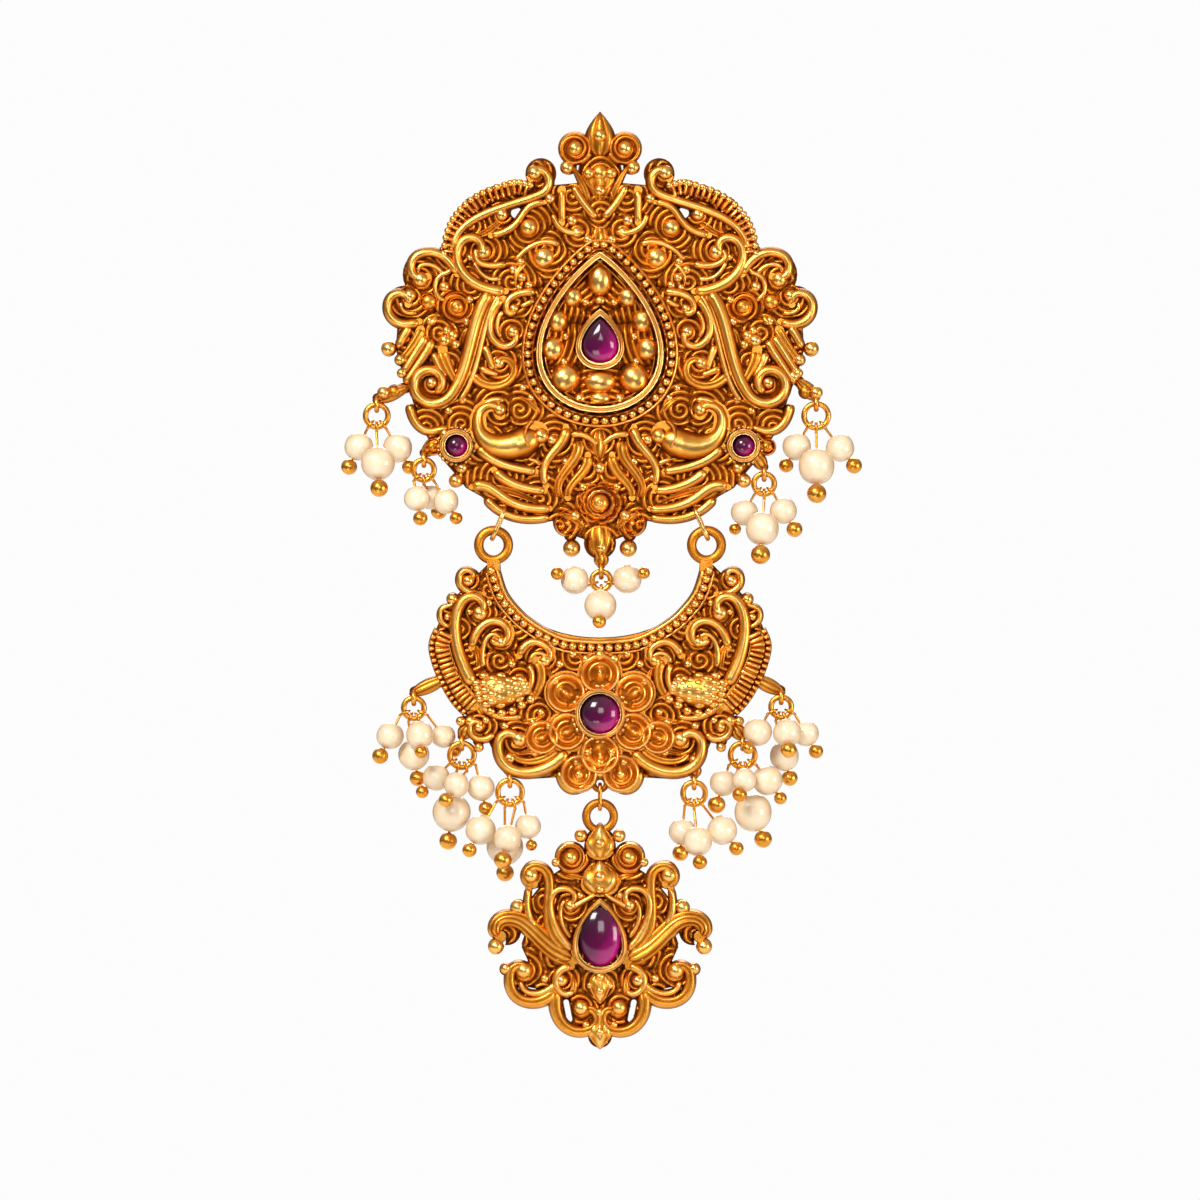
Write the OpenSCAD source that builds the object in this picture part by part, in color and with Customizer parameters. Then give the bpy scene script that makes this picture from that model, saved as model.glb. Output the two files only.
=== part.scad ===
/* [Main plate] */
// Width of the main plate across its side lobes
main_w = 53.5; // [50:0.5:60]
// Height of the main plate from the tip of the finial to the bottom rim
main_h = 51.5; // [48:0.5:58]
// Height of the pear-shaped frame round the main stone
frame_h = 20; // [18:0.5:22]
// Width of the pear-shaped frame round the main stone
frame_w = 15.8; // [14.5:0.1:17]

/* [Crescent] */
// Width of the crescent across its horns
crescent_w = 41.8; // [40:0.2:46]
// Height of the crescent below the rings that it hangs by
crescent_h = 33; // [32:0.5:37]

/* [Pendant] */
// Width of the pendant across its arms
pendant_w = 28.2; // [26:0.2:32]
// Height of the pendant below the ring that it hangs by
pendant_h = 30.8; // [29:0.2:35]

/* [Metal] */
// Thickness of the pierced sheet behind the relief
sheet_t = 1.2; // [1:0.1:1.4]
// Height of the cast scrolls above the sheet
relief_h = 1; // [0.7:0.1:1.3]
// Width of a plain scroll wire in the relief
scroll_d = 0.75; // [0.6:0.05:0.9]
// Width of the raised frame wires and stone collars
collar_w = 0.6; // [0.5:0.05:0.8]
// Height of the stone collars above the sheet
collar_h = 1.9; // [1.5:0.1:2.3]
// Diameter of the small round beads soldered on the plates
bead_d = 1.5; // [1.2:0.1:1.7]

/* [Stones] */
// Width of the pear-shaped main stone
main_stone_w = 4.6; // [4:0.1:5.2]
// Height of the pear-shaped main stone
main_stone_h = 5.8; // [5:0.1:6.6]
// Diameter of the two round side stones
side_stone_d = 2.7; // [2.2:0.1:3.2]
// Diameter of the round stone in the flower of the crescent
crescent_stone_d = 4.9; // [4.2:0.1:5.4]
// Width of the pear-shaped stone in the pendant
pendant_stone_w = 5.4; // [4.8:0.1:6]
// Height of the pear-shaped stone in the pendant
pendant_stone_h = 7.6; // [6.8:0.1:8.4]
// Gap between a stone and the metal that holds it
stone_gap = 0.08; // [0.05:0.01:0.15]

/* [Pearl drops] */
// Diameter of a plain pearl
pearl_d = 3.6; // [3.2:0.05:3.65]
// Diameter of a plain gold ball at the end of a pin
ball_d = 2; // [1.6:0.05:2.05]
// Outer diameter of a plain jump ring
jump_ring_d = 3.5; // [3.3:0.1:4]
// Wire of the jump rings
jump_wire_d = 0.7; // [0.6:0.05:0.75]
// Wire of the eyes of the pins that carry the pearls
pin_d = 0.36; // [0.3:0.02:0.4]
// Gap between a pin and its pearl, and between linked wires
wire_gap = 0.1; // [0.1:0.01:0.12]

/* [Links] */
// Outer diameter of the rings at the tips of the crescent
tip_ring_d = 4.9; // [4.7:0.1:5.2]
// Wire of the rings at the tips of the crescent
tip_wire_d = 1.2; // [1:0.05:1.25]
// Wire of the long loops that carry the crescent
loop_wire_d = 0.6; // [0.5:0.02:0.7]
// Clearance between a linked ring and the loop that it swings on
swing_gap = 0.25; // [0.2:0.01:0.3]
// Outer diameter of the ring on top of the pendant
pendant_ring_d = 4.5; // [4.4:0.1:4.8]
// Wire of the ring on top of the pendant
pendant_wire_d = 1.05; // [0.9:0.05:1.1]
// Wire of the small link between the crescent and the pendant
link_wire_d = 0.5; // [0.4:0.02:0.55]

/* [Hair hook] */
// Width of the flat hook on the back
hook_w = 7; // [5:0.5:9]
// Length of the tongue of the hook
hook_l = 17; // [12:0.5:20]
// Thickness of the strip that the hook is bent from
hook_t = 0.8; // [0.6:0.1:1]
// Room between the two legs of the hook
hook_room = 2.6; // [2:0.1:3.5]

/* [Hidden] */
CLUSTERS = ["main_outer_left", "main_outer_right", "main_inner_left", "main_inner_right",
    "main_centre", "crescent_1_left", "crescent_1_right", "crescent_2_left", "crescent_2_right",
    "crescent_3_left", "crescent_3_right"];

gold = "#d9971e";
ruby = "#5a0636";
pearl = "#efe2c6";

// Everything hangs in one plane, in front of the backs of the plates
hang_y = -sheet_t - 0.3;
// How far the scrolls stay inside the edge of the sheet
edge_step = 0.12;
// How deep the relief is sunk into the sheet
seat_depth = 0.2;

// Half widths, which the tables below take their x shares from
main_half = main_w / 2;
crescent_half = crescent_w / 2;
pendant_half = pendant_w / 2;

// The crescent swings about the wire centres of its tip rings
tip_ring_r = (tip_ring_d - tip_wire_d) / 2;
swing_x = 0.636 * crescent_half;
swing_z = -0.462 * main_h;
// The loops that carry it are half rounds about that line, joined by straight legs
loop_r = (tip_wire_d + loop_wire_d) / 2 + swing_gap;
loop_lean = 23.7;
loop_shift = 0.65 * loop_r * sin(loop_lean);
loop_rise = 1.8;

// Inner edge of the crescent in the middle, just below the centre drop
hollow_z = swing_z - 0.406 * crescent_h;

// Eye at the foot of the crescent, the link through it and the ring of the pendant
eye_wire_d = 0.7;
eye_r = 0.8;
eye_z = swing_z - 0.958 * crescent_h;
link_top_z = eye_z - eye_r + (eye_wire_d + link_wire_d) / 2 + wire_gap;
link_r = (pendant_wire_d + link_wire_d) / 2 + wire_gap;
link_leg = 1.4;
pendant_z = link_top_z - link_r - link_leg;
pendant_ring_r = (pendant_ring_d - pendant_wire_d) / 2;

// Scrolls of the main plate, right half, in hundredths of its half width (x) and height (z).
// A scroll leaves its root, passes two knees to its crown and there rolls up into a curl.
// root x, z, knee x, z, knee x, z, crown x, z, curl radius, turn, wire at root, wire at crown
MAIN_SCROLLS = [
    ["border stem", 68.7, 21.8, 67.8, 30.6, 41.1, 32.3, 28, 35.2, 7.5, -255, 0.83, 1],
    ["panel wire", 25.7, 33.3, 39.7, 33.3, 32.7, 26.7, 50.9, 25.2, 0, 0, 0.67, 0.67],
    ["panel scroll", 43.9, 11.7, 62.6, 11.9, 70.1, 18.9, 65.4, 23.1, 7, 215, 1, 0.83],
    ["upper lobe", 66.4, 15.8, 70.1, 19.9, 75.7, 21.6, 81.8, 21.1, 8.4, -215, 1, 0.83],
    ["side lobe", 84.1, 4.4, 92.5, 2.4, 99.5, 4.9, 99.1, 8.3, 7, 205, 1, 0.83],
    ["long stem", 49.5, 11.4, 59.8, 5.3, 57.9, -6.3, 68.7, -13.8, 11.2, 360, 1.6, 1],
    ["edge leaf", 83.6, 2.4, 86, -0.5, 88.8, -2.4, 92.1, -4.6, 0, 0, 1.4, 1],
    ["stem leaf", 73.4, -2.4, 72.9, -5.3, 70.1, -7.8, 66.8, -10.4, 0, 0, 1.6, 1],
    ["inner scroll upper", 45.3, 10, 52.3, 6.8, 54.2, 1, 47.2, -1.2, 6.5, -190, 1, 0.67],
    ["inner scroll lower", 59.8, -8.3, 56.1, -11.4, 47.7, -12.1, 42.5, -10, 7, -225, 1, 0.67],
    ["swan", 29.9, -22.8, 39.3, -27.7, 58.9, -26.7, 57, -18.9, 7.5, 180, 4.3, 1.3],
    ["lotus outer", 15.9, -21.1, 15.4, -26.7, 30.8, -28.2, 25.2, -35.4, 0, 0, 1, 0.8],
    ["lotus inner", 5.6, -27.9, 4.7, -32.8, 16.4, -34.5, 15, -38.3, 0, 0, 1, 0.8],
    ["fan upper", 57, -25.7, 51.4, -30.1, 39.7, -31.3, 29.9, -32, 0, 0, 1, 0.67],
    ["fan middle", 49.5, -31.6, 43.9, -35, 35, -36.4, 25.7, -36.7, 0, 0, 1, 0.67],
    ["fan lower", 59.8, -35.7, 46.7, -33.5, 48.6, -41.7, 23.4, -41, 0, 0, 1, 0.67],
    ["crown stroke", 17.8, 28.2, 17.8, 31.1, 17.8, 34, 17.8, 36.2, 0, 0, 1, 1],
];

// Lobes that give the main plate its outline: x and z of the centre, radius, all as above
MAIN_LOBES = [
    ["finial lobe", 11.7, 46.4, 7.9],
    ["finial foot", 14.5, 42, 3.7],
    ["finial flower", 0, 40.5, 10.3],
    ["volute", 27.6, 40.3, 7.2],
    ["upper lobe", 80.4, 15.8, 11.7],
    ["side lobe", 91.1, 8.3, 9.3],
    ["edge ball", 98.6, -2.2, 3.5],
    ["edge bead", 93.2, -4.9, 2.8],
    ["low edge ball", 96, -12.6, 3.4],
    ["stem curl", 78.5, -10.9, 11.2],
    ["corner lobe", 78.5, -18.5, 8.4],
    ["side setting", 67.1, -25.7, 7.9],
    ["knob", 78, -26, 3.7],
    ["setting ball", 66.8, -34, 3.3],
    ["flower petal", 15, -44.2, 7],
    ["flower ball stem", 13.8, -47.4, 3],
    ["flower ball", 13.2, -50.5, 4],
    ["flower centre", 0, -49.3, 7.5],
];

// Edge of the sheet between the lobes, from the finial down to the bottom flower: x and z
MAIN_EDGE = [
    [0, 37], [10.3, 38], [24.3, 37.4], [37.4, 38.8], [51.4, 37.1], [62.6, 34], [70.1, 29.1],
    [73.8, 22.8], [81.8, 18.9], [91.1, 13.3], [94.4, 4.9], [95.3, -2.4], [92.5, -7.8],
    [87.9, -14.1], [84.1, -20.6], [76.6, -27.2], [69.2, -31.6], [62.6, -35.9], [55.1, -38.1],
    [48.1, -42], [32.7, -44.7], [18.7, -43.7], [13.1, -47.3], [0, -49.8],
];

// Round knobs on the main plate: x and z, share of the bead diameter
MAIN_BEADS = [
    ["volute eye", 30.6, 40.5, 1.1],
    ["panel ball", 45.8, 30.3, 1],
    ["bird head", 33.3, 27.2, 1.3],
    ["panel eye", 54.2, 21.2, 1.1],
    ["upper lobe eye", 83.6, 14.6, 1.2],
    ["side lobe eye", 88.8, 10.7, 1],
    ["lobe flower", 79.9, 9.2, 1.4],
    ["rosette", 66.8, 8, 1.3],
    ["edge ball", 98.6, -2.2, 1.1],
    ["low edge ball", 96, -12.6, 1.1],
    ["stem leaf ball", 70, 0.4, 1.3],
    ["stem eye", 78.5, -10.4, 1],
    ["lower scroll eye", 47.2, -5.6, 1],
    ["swan eye", 46.7, -17, 1],
    ["setting ball", 66.8, -34, 1],
    ["knob", 78, -26, 1.1],
    ["flower ball", 13.2, -50.5, 1.1],
    ["flower petal", 12, -43, 1.2],
];

// Bosses inside the pear-shaped frame: x and z in the same shares, share of the bead diameter
FRAME_BEADS = [
    ["upper", 15.4, 10.9, 1.3],
    ["middle", 22.9, 5.3, 1.4],
    ["side", 24.8, -1.9, 1.5],
    ["lower", 17.3, -9.7, 2.3],
];

// Scrolls of the crescent, right half, in hundredths of its half width and height below its rings
CRESCENT_SCROLLS = [
    ["tip curl", 69.4, -24.1, 74.2, -24.8, 86.1, -22.6, 83.7, -17.3, 5.4, 220, 0.83, 0.67],
    ["long stem", 74.2, -58.9, 84.9, -47.6, 89.7, -33.9, 81.9, -27.1, 9, 215, 1.5, 1],
    ["fan outer", 76.6, -44.5, 75.4, -37.7, 68.2, -33.6, 60.4, -33.9, 9.6, 250, 1, 0.67],
    ["fan inner", 48.4, -47.6, 45.5, -42.7, 39.5, -40.4, 32.9, -41.9, 8.4, 210, 1, 0.67],
    ["neck ring", 38.3, -49.1, 34.7, -52.1, 34.7, -58.2, 39.5, -62.7, 0, 0, 1.3, 1],
    ["horn", 94, -41, 94, -50, 86, -58, 76, -65, 0, 0, 2.3, 2],
    ["leaf scroll", 19.7, -83.2, 28.7, -93, 59.8, -96.1, 61, -81.7, 7.8, 210, 1.5, 1],
];
CRESCENT_LOBES = [
    ["tip curl", 78.6, -19, 7.8],
    ["bump", 87.9, -26, 3.9],
    ["loop", 90.9, -32.6, 6.3],
    ["foot curl", 72.4, -74.5, 6.6],
    ["foot ball", 81, -72.2, 3.2],
    ["foot bead", 72.4, -79.6, 3.6],
    ["leaf scroll", 50.8, -81.3, 10.2],
    ["lower lobe", 12.6, -91.9, 11.9],
];
// Outer edge of the crescent from its tip down to its foot: x and z
CRESCENT_EDGE = [
    [63.4, -10.5], [71.8, -15.8], [82.5, -22.6], [92.1, -28.6], [98.1, -37.7], [98.1, -47.2],
    [93.9, -56.7], [86.1, -65.4], [76.6, -72.6], [67, -79.4], [59.8, -89.2], [43.1, -94.2],
    [23.9, -93.4], [0, -93],
];
CRESCENT_BEADS = [
    ["tip curl eye", 78.6, -19, 1],
    ["stem eye", 71.8, -31.3, 1.2],
    ["fan eye", 58.9, -42.3, 1],
    ["inner fan eye", 32.9, -49.8, 1],
    ["foot curl eye", 72.4, -74.5, 1],
    ["leaf scroll eye", 48.1, -79, 1.3],
];
// Petals round the middle stone of the crescent: angle from the top, reach and size in stones
PETALS = [
    ["upper", 58, 1.02, 0.9],
    ["lower", 118, 0.96, 0.86],
    ["outer lower", 112, 1.62, 0.7],
];

// Scrolls of the pendant, right half, in hundredths of its half width and height below its ring
PENDANT_SCROLLS = [
    ["shoulder", 28.3, -59.9, 54.9, -51.8, 42.5, -39.7, 45.1, -30.7, 13.3, -270, 1.17, 1],
    ["inner fan", 23.9, -59.9, 47.8, -49.8, 51.3, -34, 30.1, -34.8, 9.7, 170, 1, 0.67],
    ["outer stroke", 56.6, -51, 65.5, -46.1, 65.5, -40.5, 62.8, -34.8, 0, 0, 0.83, 0.67],
    ["arm", 23, -63.2, 54.9, -59.1, 60.2, -45.3, 83.2, -47, 12.4, -150, 2, 1.33],
    ["side scroll", 38.9, -76.2, 53.1, -84.3, 83.2, -81.9, 79.6, -69.7, 10.6, 230, 1.17, 0.83],
    ["bottom scroll", 38.1, -76.2, 44.2, -87.5, 28.3, -94.8, 10.6, -92.4, 13.3, -190, 1.17, 0.83],
    ["inner scroll", 24.8, -66.4, 38.9, -66.4, 44.2, -73.7, 33.6, -77, 8.8, -120, 1, 0.67],
];
PENDANT_LOBES = [
    ["top leaf", 0, -16.1, 13.3],
    ["bump", 16.8, -13.5, 5.8],
    ["top lobe", 26, -22.2, 14.2],
    ["shoulder", 57.5, -29.1, 12.4],
    ["side lump", 71.5, -42.5, 7.1],
    ["arm", 82.3, -52.2, 12.4],
    ["arm ball", 92, -58.2, 7.1],
    ["side ball", 83.5, -67.6, 5.6],
    ["side scroll", 62.8, -72.9, 18.6],
    ["bottom scroll", 20.4, -83.9, 19.5],
    ["finial", 0, -94.6, 10.6],
];
PENDANT_EDGE = [
    [0, -16], [20, -22], [33.6, -26.7], [48.7, -31.5], [66.5, -41.7], [64, -49.8],
    [70, -58], [60, -68], [48.7, -76], [35.4, -84.2], [0, -93],
];
// Gaps cut through the pendant between its scrolls: x and z of two ends, width, in half widths
PENDANT_GAPS = [
    ["under the arm", 71.5, -58, 77, -61, 5],
    ["inside the arm", 86, -54, 86, -57, 5],
    ["side scroll", 52, -77, 70, -75.5, 5],
    ["bottom scroll", 30, -81, 27, -88, 5],
];
// Leaves down the middle of the pendant: z of the middle, width, height, all in hundredths, turn
PENDANT_LEAVES = [
    ["top leaf", -16.1, 12.8, 14.3, 0],
    ["middle leaf", -31, 17, 14.3, 0],
    ["foot leaf", -75, 9.2, 13, 180],
    ["finial", -95.5, 8.5, 8, 180],
];
PENDANT_BEADS = [
    ["top lobe eye", 25, -21.5, 1.3],
    ["shoulder eye", 61, -29.5, 1.2],
    ["fan eye", 26, -41.7, 1],
    ["arm ball", 92, -58.2, 1.2],
    ["side ball", 83.5, -67.6, 0.9],
    ["side scroll eye", 67.3, -68.1, 1.2],
    ["bottom scroll eye", 16, -85, 1.2],
];

// Rings of pearls: host plate, side, ring x and z in the shares of the host, ring size as a share,
// and for each pearl its place on the ring in degrees, its lean to the right and to the front in
// degrees, its reach in pearls, and the shares of the plain pearl and ball diameters
DROPS = [
    ["main", -1, 104.2, -18.45, 1, [
        [-36, -26, -13, 0.69, 1, 1],
        [0, 3, 22, 1.19, 1.2, 1.1],
        [36, 31, -16, 0.79, 1.05, 0.9],
    ]],
    ["main", 1, 100.9, -18.45, 1.07, [
        [-36, -29, -16, 0.69, 1, 0.9],
        [0, 0, 20, 1.24, 1.3, 1.2],
        [36, 38, -11, 0.8, 1, 1],
    ]],
    ["main", -1, 82.2, -31.55, 0.93, [
        [-42, 10, 15, 0.64, 0.9, 0.9],
        [0, 28, -42, 0.69, 0.9, 1],
        [42, 31, 13, 0.84, 0.9, 0.8],
    ]],
    ["main", 1, 76.6, -34.95, 0.93, [
        [-42, -29, -22, 0.74, 0.95, 0.75],
        [0, -4, 19, 1.09, 1.2, 1.2],
        [42, 31, -14, 0.64, 0.95, 1],
    ]],
    ["main", 1, 0.6, -58.4, 0.86, [
        [-70, -110, 30, 0.59, 1, 0.8],
        [0, -4, 48, 0.64, 1.12, 0.85],
        [75, 110, 34, 0.59, 1, 0.75],
    ]],
    ["crescent", -1, 111.2, -67.3, 0.93, [
        [-63, -26, 5, 0.8, 0.95, 1],
        [-21, 9, -15, 1.19, 1.1, 1],
        [21, 5, 39, 0.6, 1, 0.8],
        [63, 37, -13, 0.94, 0.85, 0.8],
    ]],
    ["crescent", 1, 108.2, -66.9, 0.93, [
        [-63, -31, 28, 0.82, 1, 0.75],
        [-21, 14, -19, 1.34, 1.05, 1],
        [21, 4, 43, 0.59, 1, 1],
        [63, 30, -11, 0.8, 0.9, 0.9],
    ]],
    ["crescent", -1, 82.5, -85.1, 1.07, [
        [-54, -44, -12, 0.6, 0.95, 0.8],
        [-18, -7, -8, 1.45, 1.35, 1.1],
        [18, -35, 30, 0.7, 0.9, 0.9],
        [54, 13, -7, 0.8, 0.95, 0.9],
    ]],
    ["crescent", 1, 85.2, -85.1, 1.07, [
        [-54, -17, -11, 0.65, 0.95, 1.1],
        [-18, 21, -10, 1.55, 1.35, 1.1],
        [18, -19, 43, 0.5, 0.85, 0.9],
        [54, 36, -7, 0.65, 1.05, 0.8],
    ]],
    ["crescent", -1, 53.8, -99.1, 1.07, [
        [-54, -29, 7, 1.1, 1.05, 0.9],
        [-18, 0, -23, 1.48, 1.3, 1.1],
        [18, -13, 27, 1.22, 1, 1.1],
        [54, 10, -2, 0.84, 0.9, 0.7],
    ]],
    ["crescent", 1, 56.2, -99.5, 1, [
        [-36, -5, -17, 0.94, 0.95, 1],
        [0, 6, 26, 1.23, 1.05, 0.9],
        [36, 38, -4, 1.05, 1.05, 0.9],
    ]],
];

// Sizes that the shares of each plate are taken from: half width, height, z of its reference
function host_half(host) = host == "main" ? main_half : crescent_half;
function host_height(host) = host == "main" ? main_h : crescent_h;
function host_z(host) = host == "main" ? 0 : swing_z;

// Points along a scroll: a cubic curve from root to crown, then a curl of shrinking radius
STEM_STEPS = 7;
CURL_STEP = 30;
CURL_SHRINK = 0.42;
function cubic(a, b, c, d, t) =
    pow(1 - t, 3) * a + 3 * pow(1 - t, 2) * t * b + 3 * (1 - t) * t * t * c + pow(t, 3) * d;
function knot(row, i, half, high) = [row[i] * half / 100, row[i + 1] * high / 100];
function stem_points(row, half, high) = [
    for (i = [0:STEM_STEPS])
        cubic(knot(row, 1, half, high), knot(row, 3, half, high), knot(row, 5, half, high),
            knot(row, 7, half, high), i / STEM_STEPS)
];
function curl_points(row, half, high) =
    let (
        away = knot(row, 7, half, high) - knot(row, 5, half, high),
        heading = atan2(away[1], away[0]),
        steps = ceil(abs(row[10]) / CURL_STEP),
        turn = row[10] / max(1, steps)
    )
    [
        for (
            i = 0, p = knot(row, 7, half, high);
            i <= steps;
            a = heading + turn * (i + 0.5),
            r = row[9] * half / 100 * pow(CURL_SHRINK, (i + 0.5) / max(1, steps)),
            p = p + r * abs(turn) * PI / 180 * [cos(a), sin(a)],
            i = i + 1
        )
            if (i > 0) p
    ];
function scroll_points(row, half, high) =
    row[10] == 0 ? stem_points(row, half, high)
        : concat(stem_points(row, half, high), curl_points(row, half, high));

// Outline of a pear shape of width w and height h, point up, centred on its box
PEAR_POWER = 0.75;
function pear_side(t) = sin(t) * pow(sin(t / 2), PEAR_POWER);
PEAR_WIDEST = max([for (t = [90:1:120]) pear_side(t)]);
function pear(w, h, steps = 40) = [
    for (i = [0:steps - 1])
        let (t = 360 * i / steps)
        [
            (t <= 180 ? 1 : -1) * w / 2 * pear_side(t <= 180 ? t : 360 - t) / PEAR_WIDEST,
            h / 2 * cos(t)
        ]
];

// Stands a drawing in x and z up, from y = back towards the front, deep millimetres thick
module stand(back, deep) {
    translate([0, back, 0]) rotate([90, 0, 0]) linear_extrude(height = deep) children();
}

// Flat bar with round ends between two points, its half width given at each end
module bar(a, b, ra, rb) {
    side = [a[1] - b[1], b[0] - a[0]] / norm(b - a);
    polygon([a + ra * side, b + rb * side, b - rb * side, a - ra * side]);
    translate(a) circle(ra, $fn = 16);
    translate(b) circle(rb, $fn = 16);
}

module both_halves() {
    children();
    mirror([1, 0, 0]) children();
}

module lying_ring(r, wire, at, axis) {
    translate(at)
        rotate(axis == "x" ? [0, 90, 0] : [90, 0, 0])
            rotate_extrude($fn = 48) translate([r, 0]) circle(d = wire, $fn = 16);
}

// One scroll as a ribbon whose width follows the table
module scroll(row, half, high) {
    p = scroll_points(row, half, high);
    last = len(p) - 1;
    dirs = [for (i = [0:last]) p[min(i + 1, last)] - p[max(i - 1, 0)]];
    side = [for (d = dirs) [-d[1], d[0]] / norm(d)];
    wide = [for (i = [0:last]) scroll_d / 2 * (row[11] + (row[12] - row[11]) * i / last)];
    for (i = [0:last - 1])
        polygon([
            p[i] + wide[i] * side[i],
            p[i + 1] + wide[i + 1] * side[i + 1],
            p[i + 1] - wide[i + 1] * side[i + 1],
            p[i] - wide[i] * side[i]
        ]);
    translate(p[0]) circle(wide[0], $fn = 12);
    translate(p[last]) circle(wide[last] * 1.4, $fn = 12);
}

module scrolls(rows, half, high) {
    both_halves() for (row = rows) scroll(row, half, high);
}

module lobes(rows, half, high) {
    both_halves()
        for (row = rows)
            translate([row[1] * half, row[2] * high] / 100) circle(row[3] * half / 100, $fn = 28);
}

module edge_fill(points, half, high) {
    both_halves()
        polygon(concat([for (p = points) [p[0] * half, p[1] * high] / 100],
            [[-0.01, points[len(points) - 1][1] * high / 100], [-0.01, points[0][1] * high / 100]]));
}

// The relief: the scrolls kept inside the edge of the sheet, child 0 the sheet, child 1 the scrolls
module relief() {
    stand(-sheet_t + seat_depth, relief_h + seat_depth)
        offset(delta = 0.01)
            intersection() {
                offset(delta = -edge_step) children(0);
                children(1);
            }
}

// Round bead sunk in the sheet; a large one is flattened so that it stays off the sheet's back
module bead(x, z, d, y = -sheet_t) {
    deep = min(1, 0.95 * sheet_t / (0.4 * d));
    translate([x, y - 0.1 * d, z]) scale([1, deep, 1]) sphere(d = d, $fn = 24);
}

module beads(rows, half, high) {
    both_halves()
        for (row = rows)
            bead(row[1] * half / 100, row[2] * high / 100, row[3] * bead_d);
}

// Eye that a jump ring hangs from, standing edge-on under the rim of its plate
lug_wire_d = 0.6;
lug_r = (jump_wire_d + lug_wire_d) / 2 + wire_gap;
module lug(at) {
    lying_ring(lug_r, lug_wire_d, at, "x");
}

// Where the jump ring of a row of DROPS hangs, and the centre of the wire at its top
function ring_r(row) = row[4] * jump_ring_d / 2 - jump_wire_d / 2;
function ring_at(row) = [
    row[1] * row[2] * host_half(row[0]) / 100,
    hang_y,
    host_z(row[0]) + row[3] * host_height(row[0]) / 100
];
function ring_top(row) = ring_at(row) + [0, 0, ring_r(row)];

// Tab of the sheet that carries the lug of a jump ring, reaching in to the plate: how far each
// one reaches in x and z, in hundredths of the plate's half width and height
MAIN_TABS = [[15.7, 3.1], [-9.7, 4.7], [9, 4.3], [-6, 4.7], [0, 3.9]];
CRESCENT_TABS = [[22, 6.1], [-20.1, 6.1], [4.8, 5.5], [-6.7, 5.5], [0, 5.5], [0, 5.5]];
tab_w = 1.1;
module lug_tab(row, zero, reach) {
    at = ring_top(row);
    x = at[0];
    z = at[2] - zero + lug_r;
    end = [x + reach[0] * host_half(row[0]) / 100, z + reach[1] * host_height(row[0]) / 100];
    bar([x, z + wire_gap], end, tab_w / 2, 0.64 * tab_w);
}

// Round cabochon: a low dome on a short straight girdle, its flat back at y = 0
module round_stone(d, h) {
    girdle = 0.25 * h;
    rotate([90, 0, 0])
        rotate_extrude($fn = 64)
            polygon(concat([[0, 0], [d / 2, 0]],
                [for (a = [0:15:75]) [d / 2 * cos(a), girdle + (h - girdle) * sin(a)]], [[0, h]]));
}

// Pear-shaped cabochon: rings of the pear outline that shrink towards the top of the dome
module pear_stone(w, h, high) {
    sides = 32;
    levels = [[1, 0], [1, 0.3], [0.95, 0.55], [0.82, 0.77], [0.6, 0.92], [0.3, 0.99]];
    ring = pear(w, h, sides);
    points = [for (l = levels, p = ring) [p[0] * l[0], -high * l[1], p[1] * l[0] - h * 0.08 * (1 - l[0])]];
    top = len(levels) - 1;
    polyhedron(
        concat(points, [[0, -high, -h * 0.08], [0, 0, 0]]),
        concat(
            [for (k = [0:top - 1], i = [0:sides - 1])
                let (j = (i + 1) % sides)
                [k * sides + i, (k + 1) * sides + i, (k + 1) * sides + j, k * sides + j]],
            [for (i = [0:sides - 1]) [top * sides + i, len(points), top * sides + (i + 1) % sides]],
            [for (i = [0:sides - 1]) [i, (i + 1) % sides, len(points) + 1]]
        )
    );
}

// Collar of a pear-shaped stone and of a round one, standing on the sheet
module pear_collar(w, h) {
    stand(-sheet_t + seat_depth, collar_h + seat_depth)
        difference() {
            polygon(pear(w + 2 * stone_gap + 2 * collar_w, h + 2 * stone_gap + 2.6 * collar_w));
            polygon(pear(w + 2 * stone_gap, h + 2.4 * stone_gap, 32));
        }
}
module round_collar(d, at) {
    translate(at + [0, -sheet_t + seat_depth, 0])
        rotate([90, 0, 0])
            difference() {
                cylinder(d = d + 2 * stone_gap + 2 * collar_w, h = collar_h + seat_depth, $fn = 48);
                translate([0, 0, seat_depth])
                    cylinder(d = d + 2 * stone_gap, h = collar_h + 1, $fn = 48);
            }
}
stone_y = -sheet_t - stone_gap;
side_stone_at = [0.67 * main_half, 0, -0.2573 * main_h];
crescent_stone_at = [0, 0, swing_z - 0.694 * crescent_h];
pendant_stone_at = [0, 0, pendant_z - 0.539 * pendant_h];
stone_high = 2.6;

module main_sheet() {
    edge_fill(MAIN_EDGE, main_half, main_h);
    lobes(MAIN_LOBES, main_half, main_h);
    translate([0, 0.495 * main_h]) polygon(pear(0.076 * main_w, 0.108 * main_h, 24));
    for (i = [0:4]) lug_tab(DROPS[i], 0, MAIN_TABS[i]);
    for (s = [-1, 1])
        bar([s * (swing_x - 0.041 * main_half), swing_z + 0.05 * main_h],
            [s * (swing_x - 0.071 * main_half), swing_z + 0.082 * main_h],
            0.03 * main_half, 0.052 * main_half);
}

module main_plate_cut() {
    offset(delta = 0.01)
        difference() {
            main_sheet();
            for (s = [-1, 1])
                translate([s * 0.39 * main_half, 0.308 * main_h]) circle(0.026 * main_half, $fn = 16);
        }
}

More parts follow.
